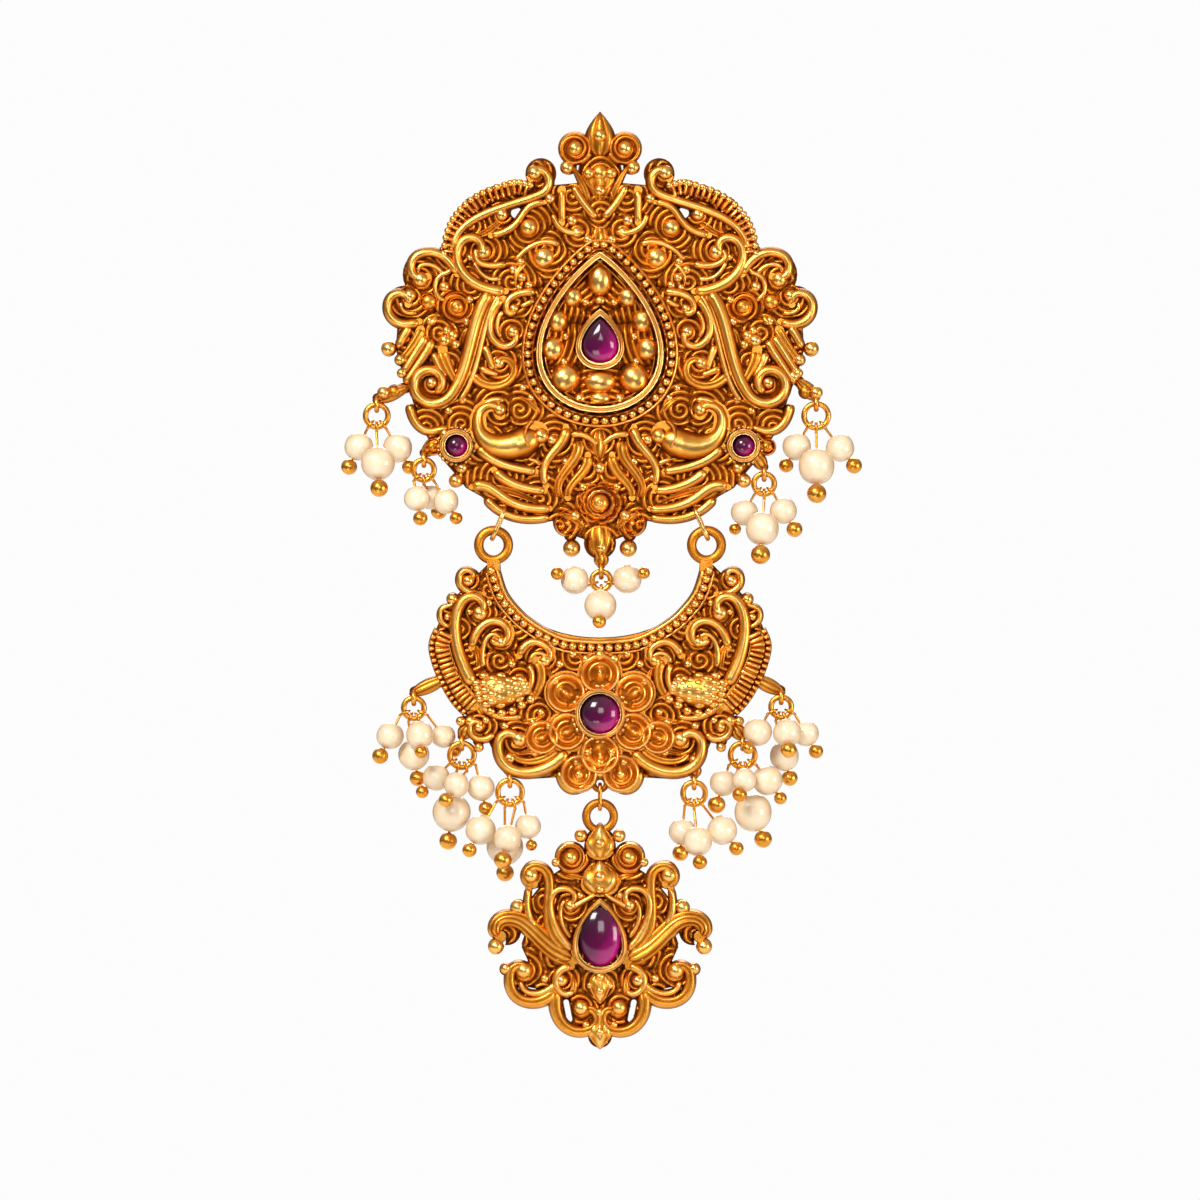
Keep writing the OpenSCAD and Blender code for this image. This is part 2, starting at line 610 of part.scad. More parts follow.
// Long loop that carries one tip ring: two half rounds and two legs, leaning in to the plate
module carrying_loop() {
    for (up = [0, 1])
        translate([0, 0, up * loop_rise])
            rotate([0, up ? 0 : 180, 0])
                rotate([0, -90, 0]) rotate([0, 0, -90])
                    rotate_extrude(angle = 180, $fn = 48)
                        translate([loop_r, 0]) circle(d = loop_wire_d, $fn = 16);
    for (s = [-1, 1])
        translate([0, s * loop_r, 0]) cylinder(d = loop_wire_d, h = loop_rise, $fn = 16);
}

module main_plate() {
    color(gold) {
        stand(0, sheet_t) main_plate_cut();
        relief() {
            main_plate_cut();
            scrolls(MAIN_SCROLLS, main_half, main_h);
        }
        beads(MAIN_BEADS, main_half, main_h);
        beads(FRAME_BEADS, main_half, main_h);
        bead(0, 0.146 * main_h, 1.9 * bead_d);
        bead(0, -0.102 * main_h, 1.9 * bead_d);
        bead(0, -0.396 * main_h, 1.6 * bead_d);
        bead(0, 0.405 * main_h, 1.5 * bead_d);
        bead(0, 0.494 * main_h, 1.2 * bead_d);
        translate([0, 0, 0.017 * main_h]) {
            stand(-sheet_t + seat_depth, collar_h + 0.4 + seat_depth)
                difference() {
                    polygon(pear(frame_w, frame_h, 48));
                    polygon(pear(frame_w - 2 * collar_w, frame_h - 2.4 * collar_w));
                }
        }
        pear_collar(main_stone_w, main_stone_h);
        for (s = [-1, 1])
            round_collar(side_stone_d, [s * side_stone_at[0], 0, side_stone_at[2]]);
        for (i = [0:4]) lug(ring_top(DROPS[i]));
        for (s = [-1, 1])
            translate([s * (swing_x - loop_shift), hang_y, swing_z])
                rotate([0, -s * loop_lean, 0]) carrying_loop();
    }
}
module main_stone() {
    color(ruby) translate([0, stone_y, 0]) pear_stone(main_stone_w, main_stone_h, stone_high);
}
module side_stone(s) {
    color(ruby)
        translate([s * side_stone_at[0], stone_y, side_stone_at[2]]) round_stone(side_stone_d, 2.2);
}

// Flat strip bent into a hook: one leg against the back of the plate, the tongue behind it
module hair_hook() {
    color(gold)
        translate([-hook_w / 2, 0.05, -hook_l / 2])
            rotate([90, 0, 90])
                linear_extrude(height = hook_w)
                    difference() {
                        union() {
                            square([hook_room + 2 * hook_t, hook_l]);
                            translate([hook_room / 2 + hook_t, hook_l])
                                circle(d = hook_room + 2 * hook_t, $fn = 48);
                        }
                        translate([hook_t, -1]) square([hook_room, hook_l + 1]);
                        translate([hook_room / 2 + hook_t, hook_l]) circle(d = hook_room, $fn = 48);
                    }
}

// Inner edge of the crescent, from the middle up to its tip: a cubic like the scrolls
function hollow(half, high) = [
    for (i = [0:12])
        let (deep = hollow_z - swing_z)
        cubic([0, deep], [0.323 * half, deep], [0.598 * half, -0.309 * high], [0.598 * half, -0.11 * high],
            i / 12)
];

module crescent_sheet() {
    inner = hollow(crescent_half, crescent_h);
    outer = [for (p = CRESCENT_EDGE) [p[0] * crescent_half, p[1] * crescent_h] / 100];
    difference() {
        union() {
            both_halves()
                polygon(concat([[-0.01, inner[0][1]]], inner, outer,
                    [[-0.01, outer[len(outer) - 1][1]]]));
            lobes(CRESCENT_LOBES, crescent_half, crescent_h);
            for (i = [5:10]) lug_tab(DROPS[i], swing_z, CRESCENT_TABS[i - 5]);
        }
        // Notch that the link to the pendant swings in
        translate([-1.5 * link_wire_d, -crescent_h]) square([3 * link_wire_d, 0.06 * crescent_h]);
    }
}

// Petals of the middle flower, open in the middle for the stone's collar
module petals() {
    r = crescent_stone_d / 2 + collar_w;
    difference() {
        union() {
            both_halves()
                for (p = PETALS)
                    translate([p[2] * 1.6 * r * sin(p[1]), p[2] * 1.6 * r * cos(p[1])])
                        circle(p[3] * r, $fn = 24);
            for (up = [1, -1]) translate([0, up * 1.65 * r]) circle(0.92 * r, $fn = 24);
            both_halves()
                translate([0.126 * crescent_half, -0.225 * crescent_h]) circle(0.75 * r, $fn = 24);
        }
        circle(r - collar_w / 2, $fn = 48);
    }
}

module crescent_plate() {
    rim_r = 0.8;
    color(gold)
        translate([0, 0, swing_z]) {
            stand(0, sheet_t) offset(delta = 0.01) crescent_sheet();
            relief() {
                crescent_sheet();
                union() {
                    scrolls(CRESCENT_SCROLLS, crescent_half, crescent_h);
                    intersection() {
                        crescent_sheet();
                        both_halves() {
                            edge = hollow(crescent_half, crescent_h);
                            for (i = [0:len(edge) - 2])
                                bar(edge[i], edge[i + 1], rim_r, rim_r);
                        }
                    }
                    translate([0, crescent_stone_at[2] - swing_z]) petals();
                }
            }
            beads(CRESCENT_BEADS, crescent_half, crescent_h);
            both_halves()
                translate([0.628 * crescent_half, -sheet_t + seat_depth, -0.6045 * crescent_h])
                    rotate([90, 0, 0]) round_dome(0.108 * crescent_w, 2.1 + seat_depth);
            round_collar(crescent_stone_d, [0, 0, crescent_stone_at[2] - swing_z]);
            for (s = [-1, 1]) {
                lying_ring(tip_ring_r, tip_wire_d, [s * swing_x, hang_y, -tip_ring_r], "y");
                ring_block(s * swing_x, -2 * tip_ring_r, 0.038 * crescent_w, 0.058 * crescent_h, tip_wire_d);
            }
            lying_ring(eye_r, eye_wire_d, [0, hang_y, eye_z - swing_z], "y");
            for (i = [5:10]) lug(ring_top(DROPS[i]) - [0, 0, swing_z]);
        }
}

// Domed body of the bird on each wing of the crescent
module round_dome(d, h) {
    rotate_extrude($fn = 48)
        polygon(concat([[0, 0]], [for (a = [0:15:75]) [d / 2 * cos(a), h * sin(a)]], [[0, h]]));
}

// Block that joins a ring of the given wire to the plate below it, its top at z = top
module ring_block(x, top, wide, tall, wire) {
    translate([x - wide / 2, hang_y - wire / 2, top - tall])
        cube([wide, wire / 2 - hang_y - wire_gap, tall]);
}

module crescent_stone() {
    color(ruby)
        translate([0, stone_y, crescent_stone_at[2]]) round_stone(crescent_stone_d, stone_high);
}

module pendant_link() {
    color(gold)
        translate([0, hang_y, pendant_z]) {
            for (up = [0, 1])
                translate([0, 0, up * link_leg])
                    rotate([0, up ? 0 : 180, 0])
                        rotate([0, -90, 0]) rotate([0, 0, -90])
                            rotate_extrude(angle = 180, $fn = 48)
                                translate([link_r, 0]) circle(d = link_wire_d, $fn = 16);
            for (s = [-1, 1])
                translate([0, s * link_r, 0]) cylinder(d = link_wire_d, h = link_leg, $fn = 16);
        }
}

module pendant_sheet() {
    difference() {
        union() {
            edge_fill(PENDANT_EDGE, pendant_half, pendant_h);
            lobes(PENDANT_LOBES, pendant_half, pendant_h);
        }
        both_halves()
            for (g = PENDANT_GAPS)
                bar([g[1] * pendant_half, g[2] * pendant_h] / 100,
                    [g[3] * pendant_half, g[4] * pendant_h] / 100,
                    g[5] * pendant_half / 200, g[5] * pendant_half / 200);
    }
    offset(delta = edge_step) scrolls(PENDANT_SCROLLS, pendant_half, pendant_h);
}

module pendant_plate() {
    color(gold)
        translate([0, 0, pendant_z]) {
            stand(0, sheet_t) offset(delta = 0.01) pendant_sheet();
            relief() {
                pendant_sheet();
                union() {
                    scrolls(PENDANT_SCROLLS, pendant_half, pendant_h);
                    for (leaf = PENDANT_LEAVES)
                        translate([0, leaf[1] * pendant_h / 100])
                            rotate(leaf[4])
                                polygon(pear(leaf[2] * pendant_w / 100, leaf[3] * pendant_h / 100, 20));
                }
            }
            beads(PENDANT_BEADS, pendant_half, pendant_h);
            translate([0, 0, pendant_stone_at[2] - pendant_z])
                pear_collar(pendant_stone_w, pendant_stone_h);
            lying_ring(pendant_ring_r, pendant_wire_d, [0, hang_y, -pendant_ring_r], "y");
            ring_block(0, -2 * pendant_ring_r, 0.064 * pendant_w, 0.039 * pendant_h, pendant_wire_d);
        }
}
module pendant_stone() {
    color(ruby)
        translate([0, stone_y, pendant_stone_at[2]])
            pear_stone(pendant_stone_w, pendant_stone_h, stone_high);
}

module jump_ring(row) {
    color(gold) lying_ring(ring_r(row), jump_wire_d, ring_at(row), "y");
}

// Where a pin starts under its jump ring, its direction, and its pearl and ball
pin_eye_r = (jump_wire_d + pin_d) / 2 + wire_gap;
// The stem of a pin is drawn thinner than its eye
stem_d = 0.88 * pin_d;
function pin_out(p) = [sin(p[0]), 0, -cos(p[0])];
function pin_eye(row, p) = ring_at(row) + ring_r(row) * pin_out(p);
function pin_way(p) = [sin(p[1]) * cos(p[2]), -sin(p[2]), -cos(p[1]) * cos(p[2])];
function pin_away(p) =
    let (out = (pin_way(p) * pin_out(p)) * pin_out(p) + [0, pin_way(p)[1], 0]) out / norm(out);
function pin_start(row, p) = pin_eye(row, p) + pin_eye_r * pin_away(p);
function pearl_at(row, p) = pin_start(row, p) + p[3] * pearl_d * pin_way(p);
function ball_reach(p) = p[3] * pearl_d + (p[4] * pearl_d + p[5] * ball_d) / 2 + wire_gap;

// Turns the z axis into the direction of a pin
module along(p) {
    way = pin_way(p);
    rotate([0, acos(way[2]), atan2(way[1], way[0])]) children();
}

module pin(row, p) {
    translate(pin_eye(row, p))
        rotate([0, -p[0], 0])
            rotate([0, -90, 0])
                rotate_extrude($fn = 32)
                    translate([pin_eye_r, 0]) rotate(180) circle(d = pin_d, $fn = 16);
    translate(pin_start(row, p)) along(p) cylinder(d = stem_d, h = ball_reach(p), $fn = 16);
    translate(pin_start(row, p) + ball_reach(p) * pin_way(p))
        along(p) sphere(d = p[5] * ball_d, $fn = 32);
}
module pins(row) {
    color(gold) for (p = row[5]) pin(row, p);
}

module drilled_pearl(row, p) {
    translate(pearl_at(row, p))
        along(p)
            difference() {
                sphere(d = p[4] * pearl_d, $fn = 48);
                cylinder(d = stem_d + 2 * wire_gap, h = 2 * pearl_d, center = true, $fn = 24);
            }
}
module pearls(row) {
    color(pearl) for (p = row[5]) drilled_pearl(row, p);
}

main_plate();
main_stone();
side_stone(-1);  // side_stone_left
side_stone(1);  // side_stone_right
hair_hook();
crescent_plate();
crescent_stone();
pendant_link();
pendant_plate();
pendant_stone();
for (i = [0:len(CLUSTERS) - 1]) {
    jump_ring(DROPS[i]);
    pins(DROPS[i]);
    pearls(DROPS[i]);
}
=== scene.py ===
import math
import bpy
import bmesh
import numpy as np
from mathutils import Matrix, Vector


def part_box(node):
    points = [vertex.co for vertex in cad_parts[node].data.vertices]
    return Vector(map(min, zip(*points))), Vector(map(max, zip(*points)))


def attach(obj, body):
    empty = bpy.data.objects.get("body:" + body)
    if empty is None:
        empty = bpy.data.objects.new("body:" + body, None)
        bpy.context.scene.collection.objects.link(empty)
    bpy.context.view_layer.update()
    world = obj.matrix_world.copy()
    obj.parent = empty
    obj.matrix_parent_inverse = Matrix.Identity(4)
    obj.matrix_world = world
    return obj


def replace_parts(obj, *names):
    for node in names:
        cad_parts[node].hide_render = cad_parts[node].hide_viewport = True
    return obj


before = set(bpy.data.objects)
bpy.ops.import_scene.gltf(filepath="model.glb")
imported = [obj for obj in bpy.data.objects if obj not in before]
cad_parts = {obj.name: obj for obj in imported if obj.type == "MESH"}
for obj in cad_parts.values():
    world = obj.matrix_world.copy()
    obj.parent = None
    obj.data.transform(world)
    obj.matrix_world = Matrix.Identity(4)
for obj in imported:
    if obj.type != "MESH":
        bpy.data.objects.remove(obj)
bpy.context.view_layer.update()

# Old gold of the three plates. The ornament is repousse gold sheet with wires and
# balls soldered on; its colour is painted pale on the ridges, as wear and painted highlight,
# and brown in the hollows, as patina and painted shade. The imported solids carry the
# sheets, edges and the back; their gold goes by depth.
# From brown to pale gold: on the sheet and the relief the brown end is patina and painted shade, the pale end
# wear and painted highlight.
HOLLOW_SHADE_BROWN = (0.070, 0.016, 0.002, 1)
DEEP_GOLD = (0.330, 0.090, 0.007, 1)
ORANGE_GOLD = (0.670, 0.250, 0.024, 1)
YELLOW_GOLD = (0.860, 0.430, 0.075, 1)
PALE_GOLD = (0.960, 0.630, 0.225, 1)
TARNISH_AND_SHADE = (
    (0.00, HOLLOW_SHADE_BROWN), (0.30, DEEP_GOLD), (0.54, ORANGE_GOLD), (0.80, YELLOW_GOLD), (1.0, PALE_GOLD),
)
# Depth of the plate along y, from 3 mm before the sheet's back to 1 mm behind it, and how pale its gold is
# painted there: darkest at the sheet's front between the wires, as patina and painted shade.
DEPTH_FRONT, DEPTH_BACK = -0.0030, 0.0010
DEPTH_PATINA_AND_SHADE = ((0.0, 1.0), (0.18, 0.70), (0.27, 0.42), (0.40, 0.10), (0.463, 0.06), (0.475, 0.50), (1.0, 0.55))


def feed(tree, made, inputs):
    """Gives each named input of a node a number or a colour, or a link where the value is a socket."""
    for name, value in inputs.items():
        if isinstance(value, bpy.types.NodeSocket):
            tree.links.new(value, made.inputs[name])
        else:
            made.inputs[name].default_value = value


def node(tree, kind, inputs, **settings):
    """A new shader node of that kind, with its settings and its inputs."""
    made = tree.nodes.new("ShaderNode" + kind)
    for name, value in settings.items():
        setattr(made, name, value)
    feed(tree, made, inputs)
    return made


def ramp(tree, level, steps):
    """Colours blended along level: steps of where and which colour."""
    made = node(tree, "ValToRGB", {"Fac": level})
    for at, colour in steps[1:-1]:
        made.color_ramp.elements.new(at)
    for stop, (at, colour) in zip(made.color_ramp.elements, steps):
        stop.position, stop.color = at, colour
    return made.outputs["Color"]


def object_place(tree):
    """The place on the object of the point that is shaded, in metres."""
    return node(tree, "TexCoord", {}).outputs["Object"]


def new_finish(name):
    """A material with nodes: the material, its node tree and its surface node."""
    finish = bpy.data.materials.new(name)
    finish.use_nodes = True
    return finish, finish.node_tree, finish.node_tree.nodes["Principled BSDF"]


def gold_leaf_finish(name, wear, grain, dull, bright):
    """Metal whose colour runs from brown to pale gold along one value from 0 to 1: wear, and on the sheet and
    the relief also painted highlight and painted shade.
    wear(tree, place) gives the socket of that value; a cloudy noise shifts it by up to grain,
    roughness falls from dull to bright along it, and a fine noise dents the surface."""
    finish, tree, metal = new_finish(name)
    place = object_place(tree)
    cloud = node(tree, "TexNoise", {"Scale": 620, "Detail": 5, "Vector": place})
    shift = {0: cloud.outputs["Fac"], 1: 2 * grain, 2: wear(tree, place)}
    shift = {0: node(tree, "Math", shift, operation="MULTIPLY_ADD").outputs[0], 1: grain}
    level = node(tree, "Math", shift, operation="SUBTRACT", use_clamp=True).outputs[0]
    polish = node(tree, "MapRange", {"To Min": dull, "To Max": bright, "Value": level})
    pits = node(tree, "TexNoise", {"Scale": 1900, "Detail": 4, "Vector": place})
    dents = node(tree, "Bump", {"Strength": 0.20, "Distance": 0.00012, "Height": pits.outputs["Fac"]})
    feed(tree, metal, {
        "Metallic": 1.0, "Base Color": ramp(tree, level, TARNISH_AND_SHADE),
        "Roughness": polish.outputs["Result"], "Normal": dents.outputs["Normal"],
    })
    return finish


def patina_and_shade_by_depth(tree, place):
    """Colour level from the depth below the front of the relief: the sheet between the wires is painted dark,
    as patina and painted shade.
    """
    split = node(tree, "SeparateXYZ", {"Vector": place})
    span = {"From Min": DEPTH_FRONT, "From Max": DEPTH_BACK, "Value": split.outputs["Y"]}
    depth = node(tree, "MapRange", span).outputs["Result"]
    return ramp(tree, depth, [(at, (grey, grey, grey, 1)) for at, grey in DEPTH_PATINA_AND_SHADE])


def stored_wear_and_shade(tree, place):
    """Level stored on the piece: 0 where it meets the sheet, as painted shade, and 1 on its crest, as wear
    and painted highlight.
    """
    return node(tree, "Attribute", {}, attribute_name="wear_and_painted_shade").outputs["Fac"]


def wear_even(tree, place):
    """The same wear all over, for rings and pins of drawn wire that rub on each other."""
    even = node(tree, "TexNoise", {"Scale": 240, "Vector": place})
    return node(tree, "Math", {0: even.outputs["Fac"], 1: 0.5, 2: 0.42}, operation="MULTIPLY_ADD").outputs[0]


# The sheet gold is painted darker with depth: patina and painted shade in the hollows.
sheet_gold = gold_leaf_finish("sheet gold", patina_and_shade_by_depth, grain=0.12, dull=0.60, bright=0.26)
# The relief gold takes its colour from the level stored on each piece: painted highlight on the crests,
# painted shade at the feet, with wear.
relief_gold = gold_leaf_finish("relief gold", stored_wear_and_shade, grain=0.18, dull=0.55, bright=0.27)
wire_gold = gold_leaf_finish("wire gold", wear_even, grain=0.15, dull=0.50, bright=0.20)

for name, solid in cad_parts.items():
    if name in ("main_plate", "crescent_plate", "pendant_plate", "hair_hook"):
        finish = sheet_gold
    elif name.startswith(("jump_ring", "pins")) or name == "pendant_link":
        finish = wire_gold
    else:
        continue
    for index in range(len(solid.material_slots)):
        solid.material_slots[index].material = finish

# Scroll wires of the main plate. Half-round and fluted gold wire, bent into stems
# that end in a curl, laid on the sheet in two mirrored halves and soldered down.
MM = 0.001
SEAT = -1.1          # the wires' feet sink to this y, 0.1 mm behind the sheet's front, in mm
CURL_SHRINK = 0.42   # a curl's radius at its end, as a share of its first radius
WIRE_SPREAD = 1.62   # solder fills the foot of each wire, so it reads wider than its gauge
ROUND = 2.2          # power of the rounded back: height is (1 - across^2.2)^(1/2.2)
WIRE_STEP = 0.28     # from point to point along a wire
FOOT_SHADE_POWER = 2.6      # power by which a wire is painted darker from its crest to its feet: painted shade
GROOVE_SHADE = 0.62   # the share of its brightness that a groove loses: painted shade in the grooves
CREST_WEAR_AND_HIGHLIGHT = 0.88    # how pale a wire is painted along its crest: wear and painted highlight
END_WEAR_AND_SHADE = 0.35      # the share of that left at its ends, painted darker where they sink into the sheet
SHARP_EDGE = 50      # degrees between faces from which an edge is shaded sharp
WELD = 2e-6          # points nearer than this, in metres, become one


def scroll_line(stem, curl=0, turn=0):
    """Cubic curve through a root, two knees and a crown; after it a curl that starts in the
    stem's own direction, turns by turn degrees, and whose radius shrinks from curl mm."""
    a, b, c, d = np.array(stem, float).reshape(4, 1, 2)
    t = np.linspace(0, 1, 25)[:, None]
    line = (1 - t) ** 3 * a + 3 * (1 - t) ** 2 * t * b + 3 * (1 - t) * t * t * c + t ** 3 * d
    if turn:
        steps = max(8, int(abs(turn) / 9))
        share = (np.arange(steps) + 0.5) / steps
        heading = math.atan2(*(d - c)[0][::-1]) + math.radians(turn) * share
        stride = curl * CURL_SHRINK ** share * abs(math.radians(turn)) / steps
        curl_way = np.stack([np.cos(heading), np.sin(heading)], 1) * stride[:, None]
        line = np.vstack([line, d + np.cumsum(curl_way, 0)])
    return line


def length_along(line):
    """How far along the line each of its points lies."""
    return np.r_[0, np.cumsum(np.hypot(*np.diff(line, axis=0).T))]


def points_at(s, away, line):
    """The points s mm along a line whose own points lie away mm along it."""
    return np.stack([np.interp(s, away, line[:, 0]), np.interp(s, away, line[:, 1])], -1)


def even_line(line, step, ends=0.0):
    """The same line with points every step mm, and closer ones over the last ends mm of each end;
    with it, the share of the way at each point."""
    away = length_along(line)
    length = away[-1]
    ends = min(ends, length / 2.2)
    near = ends * np.array([0, 0.02, 0.08, 0.18, 0.32, 0.5, 0.74])
    middle = np.linspace(ends, length - ends, max(3, int((length - 2 * ends) / step)))
    s = np.r_[near, middle, length - near[::-1]]
    return points_at(s, away, line), s / length


def leftward(line):
    """The unit normal to the left of a flat line at each of its points."""
    way = np.gradient(line, axis=0)
    way /= np.maximum(np.hypot(*way.T), 1e-9)[:, None]
    return np.stack([-way[:, 1], way[:, 0]], 1)


def rounded(across):
    """How high a round back stands at that share across, from 1 in the middle to 0 at its feet."""
    return (1 - np.abs(across) ** ROUND) ** (1 / ROUND)


def flutes(ridges, points=None, groove=0.13):
    """Cross-section of a wire: shares across (-1 to 1) and of its height (0 to 1), a rounded
    back cut by grooves between equal ridges, and how brightly each point is painted: painted highlight on the
    crest, painted shade in the grooves and at the feet."""
    across = np.sin(np.linspace(-90, 90, points or (13 if ridges < 2 else 6 * ridges + 7)) * np.pi / 180)
    back = rounded(across)
    highlight_and_shade = back ** FOOT_SHADE_POWER
    if ridges > 1:
        cut = (0.5 + 0.5 * np.cos(np.pi * ridges * (across + 1))) * (np.abs(across) < 0.97)
        highlight_and_shade = np.maximum(highlight_and_shade, 0.8 * (back > 0.3)) * (1 - GROOVE_SHADE * cut)
        back = back * (1 - groove * cut)
    return across, np.clip(back, 0, 1), highlight_and_shade


def carried(line, half, section, crest, round_ends=True):
    """A cross-section carried along a flat line: it goes half its width to each side along the
    line's normal, and rises from SEAT to crest. The ends close in a quarter round."""
    line = np.asarray(line, float)
    half = np.broadcast_to(np.asarray(half, float), len(line)).copy()
    crest = np.broadcast_to(np.asarray(crest, float), len(line)).copy()
    normal = leftward(line)
    lift = np.ones(len(line))
    if round_ends:
        away = length_along(line)
        edge = np.minimum(away, away[-1] - away) / np.maximum(half, 1e-6)
        lift = np.sqrt(np.clip(1 - (1 - np.clip(edge, 0, 1)) ** 2, 0, 1))
    across, back, highlight_and_shade = section
    flat = line[:, None, :] + normal[:, None, :] * (across[None, :] * (half * lift)[:, None])[:, :, None]
    depth = SEAT + (crest - SEAT)[:, None] * back[None, :] * (lift ** 0.6)[:, None]
    # Painted highlight along the crest, painted shade at the feet and the ends, with wear.
    wear_and_painted_shade = CREST_WEAR_AND_HIGHLIGHT * highlight_and_shade[None, :] * (END_WEAR_AND_SHADE + (1 - END_WEAR_AND_SHADE) * lift[:, None])
    return np.stack([flat[:, :, 0], depth, flat[:, :, 1]], 2), wear_and_painted_shade


def mirrored(sheets):
    """The sheets and their mirror images across the plate's upright axis, faces kept outward."""
    return sheets + [(np.asarray(points)[:, ::-1] * [-1, 1, 1], wear_and_painted_shade[:, ::-1]) for points, wear_and_painted_shade in sheets]


def put(name, data):
    """A new object in the scene."""
    thing = bpy.data.objects.new(name, data)
    bpy.context.scene.collection.objects.link(thing)
    return thing


def piece_of(name, spots, faces, wear_and_painted_shade, body, finish=relief_gold):
    """One piece on its body: a smooth mesh from points in mm and four-sided faces, which
    stores its wear, painted highlight and painted shade."""
    mesh = bpy.data.meshes.new(name)
    mesh.from_pydata((spots * MM).tolist(), [], faces.tolist())
    store = mesh.attributes.new("wear_and_painted_shade", "FLOAT", "POINT")
    store.data.foreach_set("value", wear_and_painted_shade.astype(np.float32))
    mesh.shade_smooth()
    mesh.materials.append(finish)
    piece = put(name, mesh)
    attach(piece, body)
    return piece


def laid(name, sheets, body, finish=relief_gold):
    """One piece from many grids of points in mm. Each grid becomes a strip of four-sided faces,
    joined to itself across; points that fall together are merged."""
    spots, faces, wears, base = [], [], [], 0
    for points, wear_and_painted_shade in sheets:
        rows, columns = points.shape[:2]
        over = base + np.arange(rows * columns).reshape(rows, columns)
        over = np.hstack([over, over[:, :1]])
        faces.append(np.stack([over[:-1, :-1], over[1:, :-1], over[1:, 1:], over[:-1, 1:]], 2).reshape(-1, 4))
        spots.append(points.reshape(-1, 3))
        wears.append(np.broadcast_to(wear_and_painted_shade, (rows, columns)).reshape(-1))
        base += rows * columns
    piece = piece_of(name, np.vstack(spots), np.vstack(faces), np.concatenate(wears), body, finish)
    shape = bmesh.new()
    shape.from_mesh(piece.data)
    bmesh.ops.remove_doubles(shape, verts=shape.verts, dist=WELD)
    bmesh.ops.recalc_face_normals(shape, faces=shape.faces)
    shape.to_mesh(piece.data)
    shape.free()
    piece.data.set_sharp_from_angle(angle=math.radians(SHARP_EDGE))
    return piece


def wires(rows):
    """Mirrored pairs of scroll wires from rows of: name, root, knee, knee, crown, width at the
    root, width at the crown, ridges, crest, and for those that curl the radius and the turn."""
    sheets = []
    for name, root, knee, bend, crown, first, last, ridges, crest, *curl in rows:
        line, share = even_line(scroll_line((root, knee, bend, crown), *curl), WIRE_STEP, 0.5 * first)
        half = WIRE_SPREAD * (first + (last - first) * share) / 2
        sheets.append(carried(line, half, flutes(ridges), crest))
    return mirrored(sheets)


